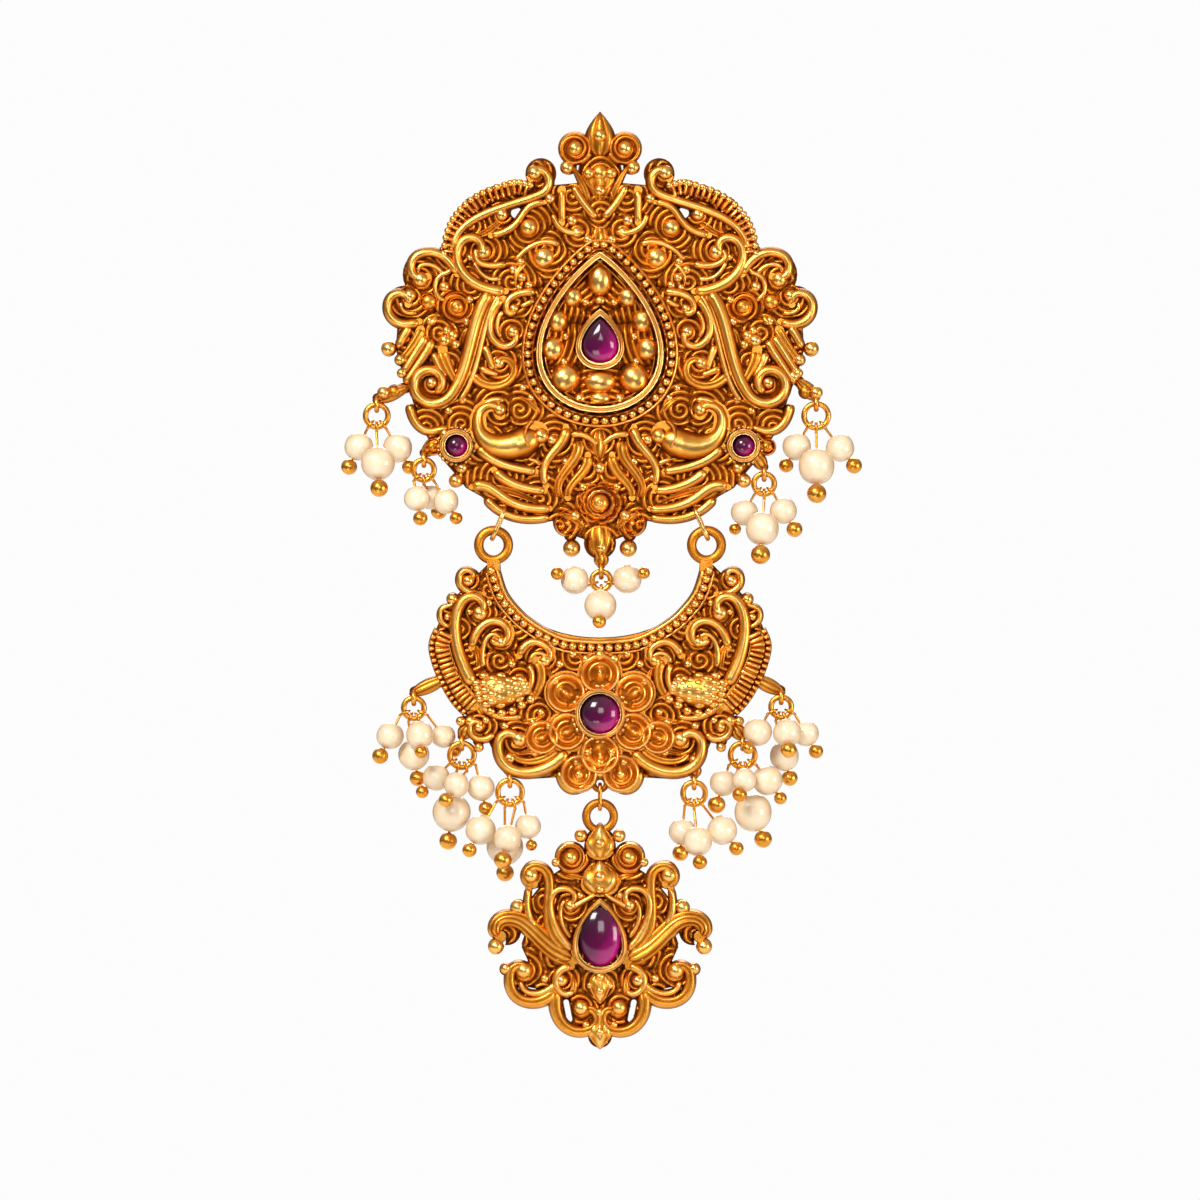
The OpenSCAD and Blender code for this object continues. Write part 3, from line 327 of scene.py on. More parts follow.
MAIN_WIRES = [
    ("border stem", (18.38, 11.25), (18.12, 15.75), (11, 16.62), (7.5, 18.12), 0.81, 0.94, 1, -2.65, 2, -255),
    ("panel wire", (6.88, 17.12), (10.62, 17.12), (8.75, 13.75), (13.62, 13), 0.75, 0.75, 1, -2.55),
    ("panel scroll", (11.75, 6), (16.75, 6.12), (18.75, 9.75), (17.5, 11.88), 1.12, 0.88, 1, -2.8, 1.88, 215),
    ("panel inner", (11.62, 9.5), (13.75, 8.75), (16.5, 9.5), (15.25, 11.38), 0.75, 0.62, 1, -2.4),
    ("panel core", (12.25, 7.62), (14, 7.25), (15, 8), (15.75, 9.75), 0.62, 0.5, 1, -2.2),
    ("lobe", (17.75, 8.12), (18.75, 10.25), (20.25, 11.12), (21.88, 10.88), 0.94, 0.81, 1, -2.65, 2.25, -215),
    ("lobe core", (19.5, 8), (20.25, 9.25), (21.25, 9.5), (22, 9.38), 0.62, 0.5, 1, -2.3, 1, -130),
    ("side", (22.5, 2.25), (24.75, 1.25), (26.62, 2.5), (26.5, 4.25), 0.94, 0.81, 1, -2.65, 1.88, 205),
    ("side core", (22.75, 3.38), (24.25, 3), (25.12, 3.75), (24.75, 4.75), 0.56, 0.5, 1, -2.2),
    ("lobe loop", (19.38, 4.88), (21.25, 5.5), (20.75, 8), (19.38, 8.25), 0.56, 0.56, 1, -2.3, 1.12, -90),
    ("stem", (13.62, 6), (16.38, 2.75), (15.88, -3.25), (18.62, -6.88), 1.25, 0.88, 1, -2.9, 2.88, 400),
    ("stem edge", (12.5, 5.62), (15.12, 2.25), (14.62, -4), (17.62, -7.75), 0.69, 0.62, 1, -2.5),
    ("edge leaf a", (23.62, 1.75), (24.38, 0.75), (24.75, 0), (25.25, -1.12), 1, 0.75, 1, -2.5),
    ("edge leaf b", (22.12, 1.5), (22.88, -0.25), (23.75, -1.25), (24.75, -2.5), 1.12, 0.75, 2, -2.55),
    ("edge leaf c", (21.62, 0.5), (22.62, -1), (23.75, -2.75), (24.62, -4.25), 1, 0.75, 1, -2.5),
    ("edge leaf d", (20.88, 0), (21.5, -1.5), (22.5, -2.75), (24.38, -5.5), 1, 0.75, 1, -2.45),
    ("stem leaf", (19.62, -1.25), (19.5, -2.75), (18.75, -4), (17.88, -5.38), 1.38, 0.75, 2, -2.55),
    ("stem leaf b", (20.75, -1.5), (20.5, -2.75), (20, -3.75), (19.12, -4.75), 1, 0.62, 1, -2.45),
    ("scroll a", (8, 5.88), (9.75, 6.12), (11.75, 5.5), (11.75, 4), 0.88, 0.62, 1, -2.55, 0.88, -180),
    ("stroke", (8.12, 5), (8.75, 4.62), (9.25, 4.38), (10, 4.12), 0.75, 0.5, 1, -2.4),
    ("scroll b", (12.12, 5.12), (14, 3.5), (14.5, 0.5), (12.62, -0.62), 0.94, 0.69, 1, -2.55, 1.75, -190),
    ("scroll core", (12, 3.62), (13, 2.75), (13.25, 1), (12.25, 0.25), 0.62, 0.5, 1, -2.25),
    ("scroll c", (16, -4.25), (15, -5.88), (12.75, -6.25), (11.38, -5.12), 1, 0.69, 2, -2.6, 1.88, -225),
    ("inner leaf a", (14.5, -0.62), (14, -1.75), (13.62, -2.75), (13.38, -3.88), 1, 0.62, 1, -2.4),
    ("inner leaf b", (15.12, -3.5), (14.25, -3.88), (13.5, -4.25), (12.62, -4.38), 0.88, 0.5, 1, -2.35),
    ("lotus outer", (4.25, -10.88), (4.12, -13.75), (8.25, -14.5), (6.75, -18.25), 1.12, 0.75, 1, -2.7),
    ("lotus middle", (2.88, -12.5), (1.75, -15.25), (6.62, -17), (4.88, -19.75), 1.25, 0.75, 3, -2.6),
    ("lotus inner", (1.5, -14.38), (1.25, -16.88), (4.38, -17.75), (4, -19.75), 1.12, 0.75, 2, -2.6),
    ("fan upper", (15.25, -13.25), (13.75, -15.5), (10.62, -16.12), (7.88, -16.5), 1.12, 0.88, 1, -2.7),
    ("fan middle", (13.25, -16.25), (11.75, -18), (9.38, -18.75), (6.75, -18.88), 1.12, 0.88, 1, -2.7),
    ("fan lower", (16, -18.38), (12.5, -17.25), (13, -21.5), (6.12, -21.12), 1.12, 0.88, 1, -2.75),
    ("fan rim", (14.25, -19.75), (12.75, -21.75), (10, -23), (6.25, -22.12), 0.88, 0.75, 1, -2.4),
    ("lotus arch", (3.75, -12), (2.5, -11.5), (1.25, -12), (0.25, -13.25), 0.75, 0.62, 1, -2.5),
    ("crown stroke", (4.75, 14.5), (4.75, 16), (4.75, 17.5), (4.75, 18.75), 0.81, 0.81, 1, -2.45),
    ("crown cross", (0.38, 15.12), (1.5, 16.25), (2.5, 17.5), (3.38, 19.25), 0.81, 0.81, 1, -2.5),
    ("crown arch", (1.88, 13.5), (3.5, 13), (5.5, 13.5), (5.88, 15.75), 0.75, 0.62, 1, -2.4),
    ("panel foot", (5, 11.75), (6.5, 12.75), (8.75, 12), (10, 10.5), 0.69, 0.56, 1, -2.35, 1.25, 60),
    ("corner scroll", (23.75, -8), (23.5, -10.5), (22, -12), (20, -11.25), 0.88, 0.75, 1, -2.5, 2.5, 40),
    ("swan curl", (11.88, -7.75), (13.25, -7), (15, -8), (15.38, -10), 0.75, 0.62, 1, -2.4, 3.75, 40),
]
laid("main_scroll_wires", wires(MAIN_WIRES), "main")

# Chased ground between the wires of the main plate: the sheet is filled with nested
# ribs that run in arcs round each curl, punched from the front before the wires go on.
MAIN_OUTLINE = [
    (0, 19.05), (2.76, 19.57), (6.5, 19.26), (10, 19.98), (13.75, 19.11), (16.75, 17.51), (18.75, 14.99),
    (19.74, 11.74), (21.88, 9.73), (24.37, 6.85), (25.25, 2.52), (25.49, -1.24), (24.74, -4.02),
    (23.51, -7.26), (22.5, -10.61), (20.49, -14.01), (18.51, -16.27), (16.75, -18.49), (14.74, -19.62),
    (12.87, -21.63), (8.75, -23.02), (5, -22.51), (3.5, -24.36), (0, -25.65),
]
MAIN_LOBES = [
    (3.13, 23.9, 2.11), (3.88, 21.63, 0.99), (0, 20.86, 2.76), (7.38, 20.75, 1.93), (21.51, 8.14, 3.13),
    (24.37, 4.27, 2.49), (26.38, -1.13, 0.94), (24.93, -2.52, 0.75), (25.68, -6.49, 0.91), (21, -5.61, 3),
    (21, -9.53, 2.25), (17.95, -13.24, 2.11), (20.86, -13.39, 0.99), (17.87, -17.51, 0.88),
    (4.01, -22.76, 1.87), (3.69, -24.41, 0.8), (3.53, -26.01, 1.07), (0, -25.39, 2.01),
]
MAIN_CURL_CENTRES = [
    (8.25, 20.88), (12.25, 15.62), (9, 14), (14.5, 11), (22.38, 7.5), (23.75, 5.38), (17.88, 4.12),
    (21, -5.5), (10.88, 1), (12.62, -2.88), (12.5, -8.75), (10.5, 4.5), (16.25, 14), (6.38, 11.25),
    (3.5, 18), (20, 0.88), (15.25, -0.62), (17.25, -10.62), (10, -13.25), (5.5, -12.5), (12.5, -17.25),
    (7.5, -20), (1.88, -16.25), (0, -20.38), (2.75, 13.5), (11, 7.25), (0, 15.75), (0, 20.5), (24.38, 0),
    (25.62, -3.5), (21.5, -11), (18.75, -3.12), (5, -23.25), (10, -8.75), (16.25, 6.88), (0, -25.62),
    (14.25, -12.5), (10, 19.25), (18.12, 11.25), (0, -12.5), (3.12, 23.88),
]


RIB_PITCH = 0.82       # from rib to rib, mm
GRID = 0.165           # from point to point
HOLLOW_Y = -1.24       # the hollows between the ribs, just before the sheet
RIB_RISE = 0.78        # how far the ribs stand before the hollows
RIB_ROUND = 0.75       # power of a rib's height: below 1 it is broad and the hollow narrow
BORDER_Y = -1.0        # the border dips into the sheet
SEAM_WIDE = 0.45       # over this distance the ribs sink toward the seam between two centres
# how pale the ribs' crests are painted: wear and painted highlight on the ribs, painted shade in the hollows
GROUND_WEAR_AND_SHADE = 0.60


def ribbed_ground(name, outline, lobes, centres, body, holes=()):
    """A height field over the sheet: at each point the ribs are the cosine of the distance to
    the nearest curl centre plus a share of the angle round it, so that they wind in spirals, sunk
    again where two centres are equally near. Points outside the outline (an even-odd test) and
    its round lobes are left out, and the border dips into the sheet."""
    outline = np.array(outline, float)
    outline = np.vstack([outline, (outline * [-1, 1])[::-1]])
    lobes, middles = np.array(lobes, float), np.array(centres, float)
    middles = np.vstack([middles, middles[middles[:, 0] > 0.1] * [-1, 1]])
    reach = max(outline[:, 0].max(), (lobes[:, 0] + lobes[:, 2]).max())
    low, high = lobes[:, 1].min() - 4, lobes[:, 1].max() + 4
    x, z = np.meshgrid(np.arange(-reach, reach, GRID), np.arange(low, high, GRID))
    within = np.zeros(x.shape, bool)
    for (x0, z0), (x1, z1) in zip(outline, np.roll(outline, -1, 0)):
        within ^= ((z0 > z) != (z1 > z)) & (x < (x1 - x0) * (z - z0) / (z1 - z0 + 1e-12) + x0)
    for lx, lz, radius in lobes:
        within |= np.hypot(np.abs(x) - lx, z - lz) < radius - 0.1
    for hx, hz, radius in holes:
        within &= np.hypot(np.abs(x) - hx, z - hz) > radius
    apart = np.stack([np.hypot(x - cx, z - cz) for cx, cz in middles])
    near, next_near = np.sort(apart, 0)[:2]
    cx, cz = np.moveaxis(middles[np.argmin(apart, 0)], 2, 0)
    bend = np.arctan2(z - cz, (x - cx) * np.sign(cx + 1e-9)) / (2 * np.pi)
    rise = np.abs(np.cos(np.pi * (near / RIB_PITCH + bend))) ** RIB_ROUND
    rise = rise * np.clip((next_near - near) / SEAM_WIDE, 0, 1) ** 0.5
    inner = within.copy()
    for shift in (-1, 1):
        inner &= np.roll(within, shift, 0) & np.roll(within, shift, 1)
    y = np.where(inner, HOLLOW_Y - RIB_RISE * rise, BORDER_Y)
    number = np.cumsum(within).reshape(within.shape) - 1
    full = within[:-1, :-1] & within[1:, :-1] & within[1:, 1:] & within[:-1, 1:]
    corners = np.stack([number[:-1, :-1], number[:-1, 1:], number[1:, 1:], number[1:, :-1]], 2)[full]
    used, corners = np.unique(corners, return_inverse=True)
    spots = np.stack([x[within], y[within], z[within]], 1)[used]
    piece_of(name, spots, corners.reshape(-1, 4), (GROUND_WEAR_AND_SHADE * rise)[within][used], body)


PANEL_HOLES = [(10.41, 15.88, 0.75)]
ribbed_ground("main_chased_ground", MAIN_OUTLINE, MAIN_LOBES, MAIN_CURL_CENTRES, "main", PANEL_HOLES)

# Ribbed border over the shoulders of the main plate: a band of short ribs between the
# border stem and the edge, each rib ending in a small bead, struck in one strip of gold.


def smooth_line(points, count, ring=False):
    """Catmull-Rom curve through the points, at count even shares; closed when ring is true."""
    p = np.array(points, float)
    p = np.vstack([p[-1:], p, p[:2]]) if ring else np.vstack([2 * p[0] - p[1], p, 2 * p[-1] - p[-2]])
    spans = len(p) - 3
    t = np.linspace(0, spans, count, endpoint=not ring)
    i = np.minimum(t.astype(int), spans - 1)
    t = (t - i)[:, None]
    a, b, c, d = p[i], p[i + 1], p[i + 2], p[i + 3]
    bend, twist = 2 * a - 5 * b + 4 * c - d, 3 * b - a - 3 * c + d
    return 0.5 * (2 * b + (c - a) * t + bend * t ** 2 + twist * t ** 3)


def beside(line, off):
    """The line moved off mm to its left."""
    return line + off * leftward(line)


def turned(u, v, y, turn, x, z):
    """Points at depth y whose offsets u and v are turned by turn degrees and moved to x, z."""
    cos, sin = math.cos(math.radians(turn)), math.sin(math.radians(turn))
    return np.stack([x + u * cos - v * sin, y * np.ones_like(u), z + u * sin + v * cos], 2)


def ball_cap(x, z, radius, crest, squash=1.0, turn=0.0, rows=7, columns=20):
    """A round cap on a short wall: half an ellipsoid of radius mm, squash times as long along
    the way it is turned to, by turn degrees, its top at crest."""
    up = np.linspace(0, np.pi / 2, rows)
    tall = min(radius, SEAT - crest)
    ring = np.linspace(0, 2 * np.pi, columns, endpoint=False)
    out = np.r_[1.0, np.cos(up)][:, None]
    depth = np.r_[SEAT, crest + tall - tall * np.sin(up)][:, None]
    points = turned(radius * squash * out * np.cos(ring), radius * out * np.sin(ring), depth, turn, x, z)
    # Painted shade at the foot of the cap, painted highlight toward its top.
    return points, np.r_[0.0, 0.45 + 0.5 * np.sin(up)][:, None] * np.ones(columns)


NOTCH_STEP = 0.11   # from point to point along a ribbed band, mm
NOTCH_WEAR_AND_SHADE = 0.12   # how pale it is painted between two ribs: painted shade in the notch


def ribbed(line, wide, ribs, low, high):
    """A flat-backed band carried along a line whose back rises from low to high once for each rib."""
    line, share = even_line(line, NOTCH_STEP)
    swell = np.abs(np.sin(np.pi * ribs * share)) ** 0.7
    across = np.linspace(-1, 1, 9)
    flat = 1 - across ** 4
    section = (across, flat ** 0.25, flat ** 0.4)
    points, wear_and_painted_shade = carried(line, wide / 2, section, low + (high - low) * swell, False)
    # Painted shade in the notches between the ribs and at the ends, painted highlight on the ribs.
    wear_and_painted_shade = wear_and_painted_shade * (NOTCH_WEAR_AND_SHADE + (1 - NOTCH_WEAR_AND_SHADE) * swell[:, None])
    closed = [np.repeat(points[:1, :1], 9, 1), points, np.repeat(points[-1:, :1], 9, 1)]
    return np.concatenate(closed), np.concatenate([wear_and_painted_shade[:1] * 0, wear_and_painted_shade, wear_and_painted_shade[-1:] * 0])


BORDER_EDGE = [
    (8.62, 19.5), (10.25, 19.88), (11.75, 19.62), (14, 18.88), (15.88, 17.88), (17.5, 16.5), (18.62, 15),
    (19.38, 13.12), (19.75, 10.75),
]
border = smooth_line(BORDER_EDGE, 90)
border_ribs = [ribbed(beside(border, -1), 2, 19, -1.6, -2.6)]
border_beads = beside(smooth_line(BORDER_EDGE, 20), -0.25)
border_ribs += [ball_cap(x, z, 0.46, -2.75, rows=5, columns=12) for x, z in border_beads]
laid("main_ribbed_border", mirrored(border_ribs), "main")

# Medallion of the main plate: a pear-shaped frame of round wire with a row of grains and
# a thin outer rim, round a bed of domed bosses and the raised setting of the middle stone.


def bead_row(line, pitch, radius, crest):
    """Small balls every pitch mm along a line."""
    away = length_along(line)
    s = np.linspace(0, away[-1], max(2, round(away[-1] / pitch)) + 1)
    return [ball_cap(x, z, radius, crest, rows=4, columns=10) for x, z in points_at(s, away, line)]


def pear_line(wide, tall, middle=(0, 0), points=160):
    """A pear, point up, run clockwise: x goes as sin t times the 0.75 power of sin t/2, z as cos t."""
    t = np.linspace(0, 2 * np.pi, points, endpoint=False)
    side = np.sin(t) * np.sin(np.minimum(t, 2 * np.pi - t) / 2) ** 0.75
    return np.stack([middle[0] + wide / 2 * side / np.abs(side).max(), middle[1] + tall / 2 * np.cos(t)], 1)


FRAME_MIDDLE = (0, 0.88)
FRAME_SIZE = (15.2, 19.3)
pear_ring = pear_line(*FRAME_SIZE, FRAME_MIDDLE)


def hoop(line, wide, crest):
    """A closed wire of even width: a round back carried round a closed line."""
    line = np.vstack([line[-2:], line, line[:3]])
    points, wear_and_painted_shade = carried(line, wide / 2, flutes(1, 11), crest, False)
    return points[2:-2], wear_and_painted_shade[2:-2]


frame_wires = [
    hoop(pear_ring, 0.95, -3.75),
    hoop(beside(pear_ring, 0.81), 0.56, -2.3),
    hoop(beside(pear_ring, 2), 0.62, -2.45),
    hoop(beside(pear_ring, -0.75), 0.44, -2.3),
]
frame_wires += bead_row(beside(np.vstack([pear_ring, pear_ring[:1]]), 1.38), 1.2, 0.54, -2.8)
laid("medallion_frame", frame_wires, "main")

MEDALLION_BOSSES = [
    ("apex egg", 0, 7.5, 1.62, -3.0, 1.35, 90), ("upper", 3.5, 5.38, 1.31, -2.8, 1.1, 60),
    ("upper side", 5.38, 2.38, 1.44, -2.9, 1.1, 70), ("side", 6, -1.12, 1.56, -2.95, 1.05, 90),
    ("lower side", 4.38, -4.88, 1.94, -3.2, 1.1, 130), ("foot", 0, -5.25, 1.56, -3.0, 1.35, 0),
    ("toe", 0, -7.38, 1, -2.6, 1.4, 0), ("lower grain", 2.5, -7.38, 0.75, -2.5, 1, 0),
    ("upper grain", 1.75, 4.62, 0.5, -2.4, 1, 0), ("side grain", 4.25, 0.38, 0.5, -2.4, 1, 0),
    ("low side grain", 4.5, -2.75, 0.5, -2.4, 1, 0), ("neck grain", 0, 4.88, 0.56, -2.5, 1.2, 0),
]
bosses = [ball_cap(*boss, rows=9, columns=28) for name, *boss in MEDALLION_BOSSES]
laid("medallion_bosses", mirrored(bosses), "main")

# Balls and seed grains on the main plate: solid gold shot, sweated on at the scrolls'
# eyes, along the edge and in the angles between wires.
MAIN_SHOT = [
    (8.17, 20.84, 0.94, -2.9), (12.25, 15.62, 0.81, -2.7), (8.91, 14, 1.12, -3.0),
    (6.25, 17.62, 0.69, -2.6), (14.5, 10.94, 0.94, -2.8), (9.88, 9.75, 0.56, -2.3),
    (9.75, 7.75, 0.62, -2.35), (8.88, 6.81, 0.56, -2.3), (10.81, 8.75, 0.62, -2.3), (7, 10.25, 1.5, -2.7),
    (3.5, 14.88, 0.75, -2.4), (2.88, 13.38, 0.75, -2.4), (22.38, 7.5, 1, -2.8), (19.44, 6.62, 0.69, -2.5),
    (23.75, 5.5, 0.81, -2.7), (21, -5.38, 0.75, -2.75), (26.38, -1.12, 0.94, -2.7),
    (24.92, -2.5, 0.69, -2.6), (24.75, -4.19, 0.62, -2.5), (27, -6.62, 0.81, -2.6),
    (19.38, -0.12, 0.81, -2.75), (18.38, 0.5, 0.69, -2.65), (18, -0.62, 0.62, -2.5),
    (19.12, 1.12, 0.56, -2.5), (10.88, 1, 0.75, -2.7), (12.62, -2.88, 0.75, -2.7),
    (10.75, 3.88, 0.62, -2.5), (12.5, -8.75, 0.81, -2.9), (18, -17.62, 0.88, -2.6),
    (17.25, -16, 0.75, -2.4), (3.12, -22, 0.69, -2.7), (3.54, -26.12, 1, -2.7), (6.62, -17.25, 0.5, -2.3),
    (4.25, -15.25, 0.56, -2.3), (5.5, -12.5, 0.56, -2.3), (0, -16, 0.75, -2.4), (2.12, -18.38, 0.56, -2.3),
    (17.12, -7.5, 0.56, -2.3), (18.88, -8.88, 0.56, -2.3), (16.25, 10.25, 0.44, -2.2),
    (21.25, 2.38, 0.5, -2.3), (16.25, 5, 0.56, -2.3), (14.75, 5.5, 0.5, -2.2), (16.62, 2.25, 0.56, -2.3),
    (8.62, -7.25, 0.5, -2.2), (9.62, -6, 0.5, -2.2), (10.12, 6.5, 0.44, -2.2), (1.5, 12.5, 0.62, -2.4),
    (1.38, 20.75, 0.75, -2.6), (0, 18.62, 0.75, -2.7), (0, 25.44, 0.88, -2.9), (3.12, 23.88, 0.94, -2.8),
    (4.12, 21.5, 0.88, -2.4),
]
laid("main_shot", mirrored([ball_cap(*row) for row in MAIN_SHOT]), "main")

# Rosettes of the main plate: turned and petalled buttons in the side lobes, the corner
# and over the bottom flower, struck in sheet and domed up.


BUTTON_Y = SEAT - 0.35   # the hollows of a button


def button(x, z, steps, petals=0, depth=0, columns=48):
    """A round button: rows of radius and y turned about the plate's normal; with petals the
    radius waves by depth between its rim and its middle."""
    radius, y = np.array(steps, float).T
    ring = np.linspace(0, 2 * np.pi, columns, endpoint=False)
    wave = depth * (np.abs(np.cos(petals * ring / 2)) - 0.6) if petals else 0
    out = radius[:, None] * (1 + wave * (radius[:, None] / radius.max()) ** 2)
    points = np.stack([x + out * np.cos(ring), y[:, None] * np.ones(columns), z + out * np.sin(ring)], 2)
    # Painted pale by height: painted highlight on the raised rings and knob, painted shade in the hollows.
    wear_and_painted_shade = np.clip((-1.05 - y) / 1.25, 0, 0.95)[:, None] * np.ones(columns)
    return points, wear_and_painted_shade


def rings_profile(reach, crests, top):
    """Rows of radius and y for round ridges at the given shares of reach, with hollows between
    and a round knob of height top in the middle."""
    shares = np.linspace(1, 0, 41)
    width = 0.5 / (len(crests) + 1)
    hills = sum(np.exp(-((shares - c) / width * 2.2) ** 2) for c in crests)
    height = np.clip(hills, 0, 1) * 0.62 + np.sqrt(np.clip(1 - (shares / 0.26) ** 2, 0, 1))
    y = BUTTON_Y + (top - BUTTON_Y) * np.clip(height, 0, 1)
    return np.stack([np.r_[1.0, shares] * reach, np.r_[SEAT, y]], 1)


main_buttons = [
    button(17.88, 4.12, rings_profile(2, (0.88, 0.55), -2.6)),
    button(21.38, 4.75, rings_profile(1.19, (0.85,), -2.7), petals=7, depth=0.25),
    button(20.88, -13.38, rings_profile(1.12, (0.85,), -2.6)),
    button(3.12, 23.88, rings_profile(2.12, (0.85,), -2.5)),
    button(4, -22.88, rings_profile(1.75, (0.88, 0.6), -2.5)),
]
laid("main_side_buttons", mirrored(main_buttons), "main")
bottom_rings = rings_profile(2.75, (0.88, 0.56), -2.9)
laid("main_bottom_rosette", [button(0, -20.38, bottom_rings, petals=9, depth=0.22, columns=72)], "main")

# Leaves of the main plate: the pointed finial petals, the fans under the swans and the
# petals of the bottom flower, chased with a mid-rib and fine veins.


VEIN_GROOVE = 0.16   # how deep the veins are cut, as a share of a leaf's height
LEAF_END_WEAR_AND_SHADE = 0.4      # level at a leaf's ends, as a share of the level along its back: painted shade where they sink into the sheet


def leaf(root, tip, wide, ridges, bow, crest, point=0.62):
    """A leaf from root to tip: its width grows and falls as the sine of a power of the way
    along, its middle line bows sideways, and its back is fluted by veins."""
    root, tip = np.array(root, float), np.array(tip, float)
    t = np.linspace(0, 1, 34)
    way = tip - root
    side = np.array([-way[1], way[0]])
    line = root + way * t[:, None] + side * (bow * np.sin(np.pi * t))[:, None]
    half = wide / 2 * np.sin(np.pi * np.clip(t, 0.02, 0.99) ** point) ** 0.8
    lift = np.sin(np.pi * np.clip(t, 0.01, 0.99)) ** 0.4
    veins = flutes(ridges, groove=VEIN_GROOVE)
    points, wear_and_painted_shade = carried(line, half, veins, SEAT + (crest - SEAT) * lift, False)
    return points, wear_and_painted_shade * (LEAF_END_WEAR_AND_SHADE + (1 - LEAF_END_WEAR_AND_SHADE) * lift[:, None])


side_leaves = [
    leaf((15.25, -13), (7.75, -16.62), 1.38, 2, 0.10, -2.45),
    leaf((13.5, -15.75), (6.75, -18.88), 1.38, 2, 0.12, -2.45),
    leaf((16, -18.25), (6.12, -21.12), 1.5, 3, -0.06, -2.45),
    leaf((14.5, -19.88), (6, -22.25), 1.12, 2, 0.14, -2.2),
    leaf((12.12, 15.12), (17.38, 12.5), 1.25, 3, -0.10, -2.35),
    leaf((20.5, 3.25), (22, 2), 1.12, 1, -0.3, -2.3),
    leaf((1.25, 16.88), (4.12, 22.5), 1.12, 2, 0.05, -2.3),
    leaf((6.5, -16.25), (10, -14.75), 1, 1, 0.1, -2.2),
    leaf((1.88, -23.75), (5.5, -21.5), 1.25, 2, 0.1, -2.3), leaf((9, 9.75), (10.38, 6), 1, 1, 0.2, -2.2),
    leaf((15.38, 2.25), (17.25, -1.25), 1, 2, 0.1, -2.2),
    leaf((7.38, -9.62), (10.62, -6.88), 1.12, 2, 0.1, -2.3),
]
middle_leaves = [
    leaf((0, 22.62), (0, 28.44), 3.62, 3, 0, -2.5, 0.8), leaf((0, 22.38), (0, 16.75), 4, 3, 0, -2.2, 0.75),
    leaf((0, -22.75), (0, -27.62), 3.38, 3, 0, -2.5, 0.7),
    leaf((0, -11), (0, -15.25), 2.5, 3, 0, -2.5, 0.8), leaf((0, 14.5), (0, 11.25), 2.25, 3, 0, -2.4, 0.8),
]
laid("main_leaves", mirrored(side_leaves) + middle_leaves, "main")

# Swans at the lower corners of the main plate: full, smooth bodies whose necks curl up
# and over, beaten up from the sheet and polished, with a neck band and balls beside them.


def shared_out(values, share):
    """The value at a share of the way, from values at even shares."""
    return np.interp(share, np.linspace(0, 1, len(values)), values)


def swollen(line, halves, crests):
    """A smooth round-backed body along a line, whose half widths and heights are given at even
    shares of the way and filled in between; its ends are rounded off."""
    line, share = even_line(line, 0.2, 0.9)
    return carried(line, shared_out(halves, share), flutes(1, 21), shared_out(crests, share))


swan_line = scroll_line(((7.75, -11.5), (10.5, -14.5), (15.75, -13.75), (15.25, -9.75)), 2, 200)
swan = [swollen(swan_line, [1.75, 2, 1.88, 1.5, 1, 0.75, 0.62, 0.56], [-3.4, -3.75, -3.4, -3.0, -2.8, -2.7])]
neck_band = smooth_line([(8.25, -10), (9.12, -10.88), (9.38, -12.25), (8.75, -13.62)], 20)
swan += [
    carried(even_line(neck_band, 0.2, 0.3)[0], 0.33, flutes(1), -3.8), ball_cap(7.38, -12, 1, -3.4),
    ball_cap(6, -12.5, 0.62, -2.9), ball_cap(12.5, -8.75, 0.81, -2.95),
]
laid("main_swans", mirrored(swan), "main")

# Scroll wires of the crescent: the rim round its hollow, the fluted stems up the wings
# and the fans beside them, soldered to the second sheet.
CRESCENT_WIRES = [
    ("tip curl", (14.5, -31.75), (15.5, -32), (18, -31.25), (17.5, -29.5), 0.81, 0.62, 1, -2.5, 1.12, 220),
    ("stem", (15.75, -43.25), (18.12, -39.5), (18.88, -35), (17.25, -32.75), 1.38, 0.88, 1, -2.9, 1.88, 215),
    ("loop", (18.5, -35.88), (20.25, -35.75), (20.5, -33.38), (19, -33.25), 0.62, 0.5, 1, -2.3, 1.12, -110),
    ("fan", (16, -38.5), (15.75, -36.25), (14.25, -34.88), (12.88, -35.12), 0.94, 0.69, 1, -2.6, 1.88, 250),
    ("core", (14.5, -41), (15.12, -38.75), (14.25, -36.75), (13.25, -36.75), 0.69, 0.5, 1, -2.4, 0.88, 110),
    ("fan b", (10.12, -39.5), (9.5, -37.88), (8.25, -37.12), (6.75, -38.25), 0.94, 0.62, 1, -2.6, 1.5, 215),
    ("core b", (8.75, -40.5), (8.75, -39.38), (7.88, -38.75), (6.88, -39.38), 0.62, 0.5, 1, -2.35, 0.75, 110),
    ("neck ring", (8, -40), (7, -41), (7, -43), (8.25, -44.5), 1.12, 0.88, 2, -2.85),
    ("neck collar", (9, -40.5), (8.25, -41.5), (8.25, -43), (9.25, -44.12), 0.75, 0.62, 1, -2.9),
    ("leaf", (4.12, -51.25), (6, -54.5), (12.5, -55.5), (12.75, -50.75), 1.25, 0.88, 1, -2.8, 1.75, 230),
    ("leaf core", (5.25, -51), (6.75, -53), (10.5, -53.25), (11, -51.5), 1, 0.62, 2, -2.5),
    ("foot curl", (13.25, -49), (13.5, -50.25), (16.25, -50.25), (16.25, -48.5), 0.75, 0.56, 1, -2.5, 1, 200),
    ("arch", (5, -53.75), (5.12, -57), (1.5, -57.12), (1.5, -53.88), 0.75, 0.75, 1, -2.5),
    ("arch core", (4, -53.75), (3.88, -55.75), (2.62, -55.75), (2.5, -53.75), 0.62, 0.62, 1, -2.4),
    ("wing edge", (15.25, -45), (14.25, -46.75), (12, -47.75), (9.75, -47), 0.75, 0.62, 1, -2.3),
]
crescent_sheets = wires(CRESCENT_WIRES)
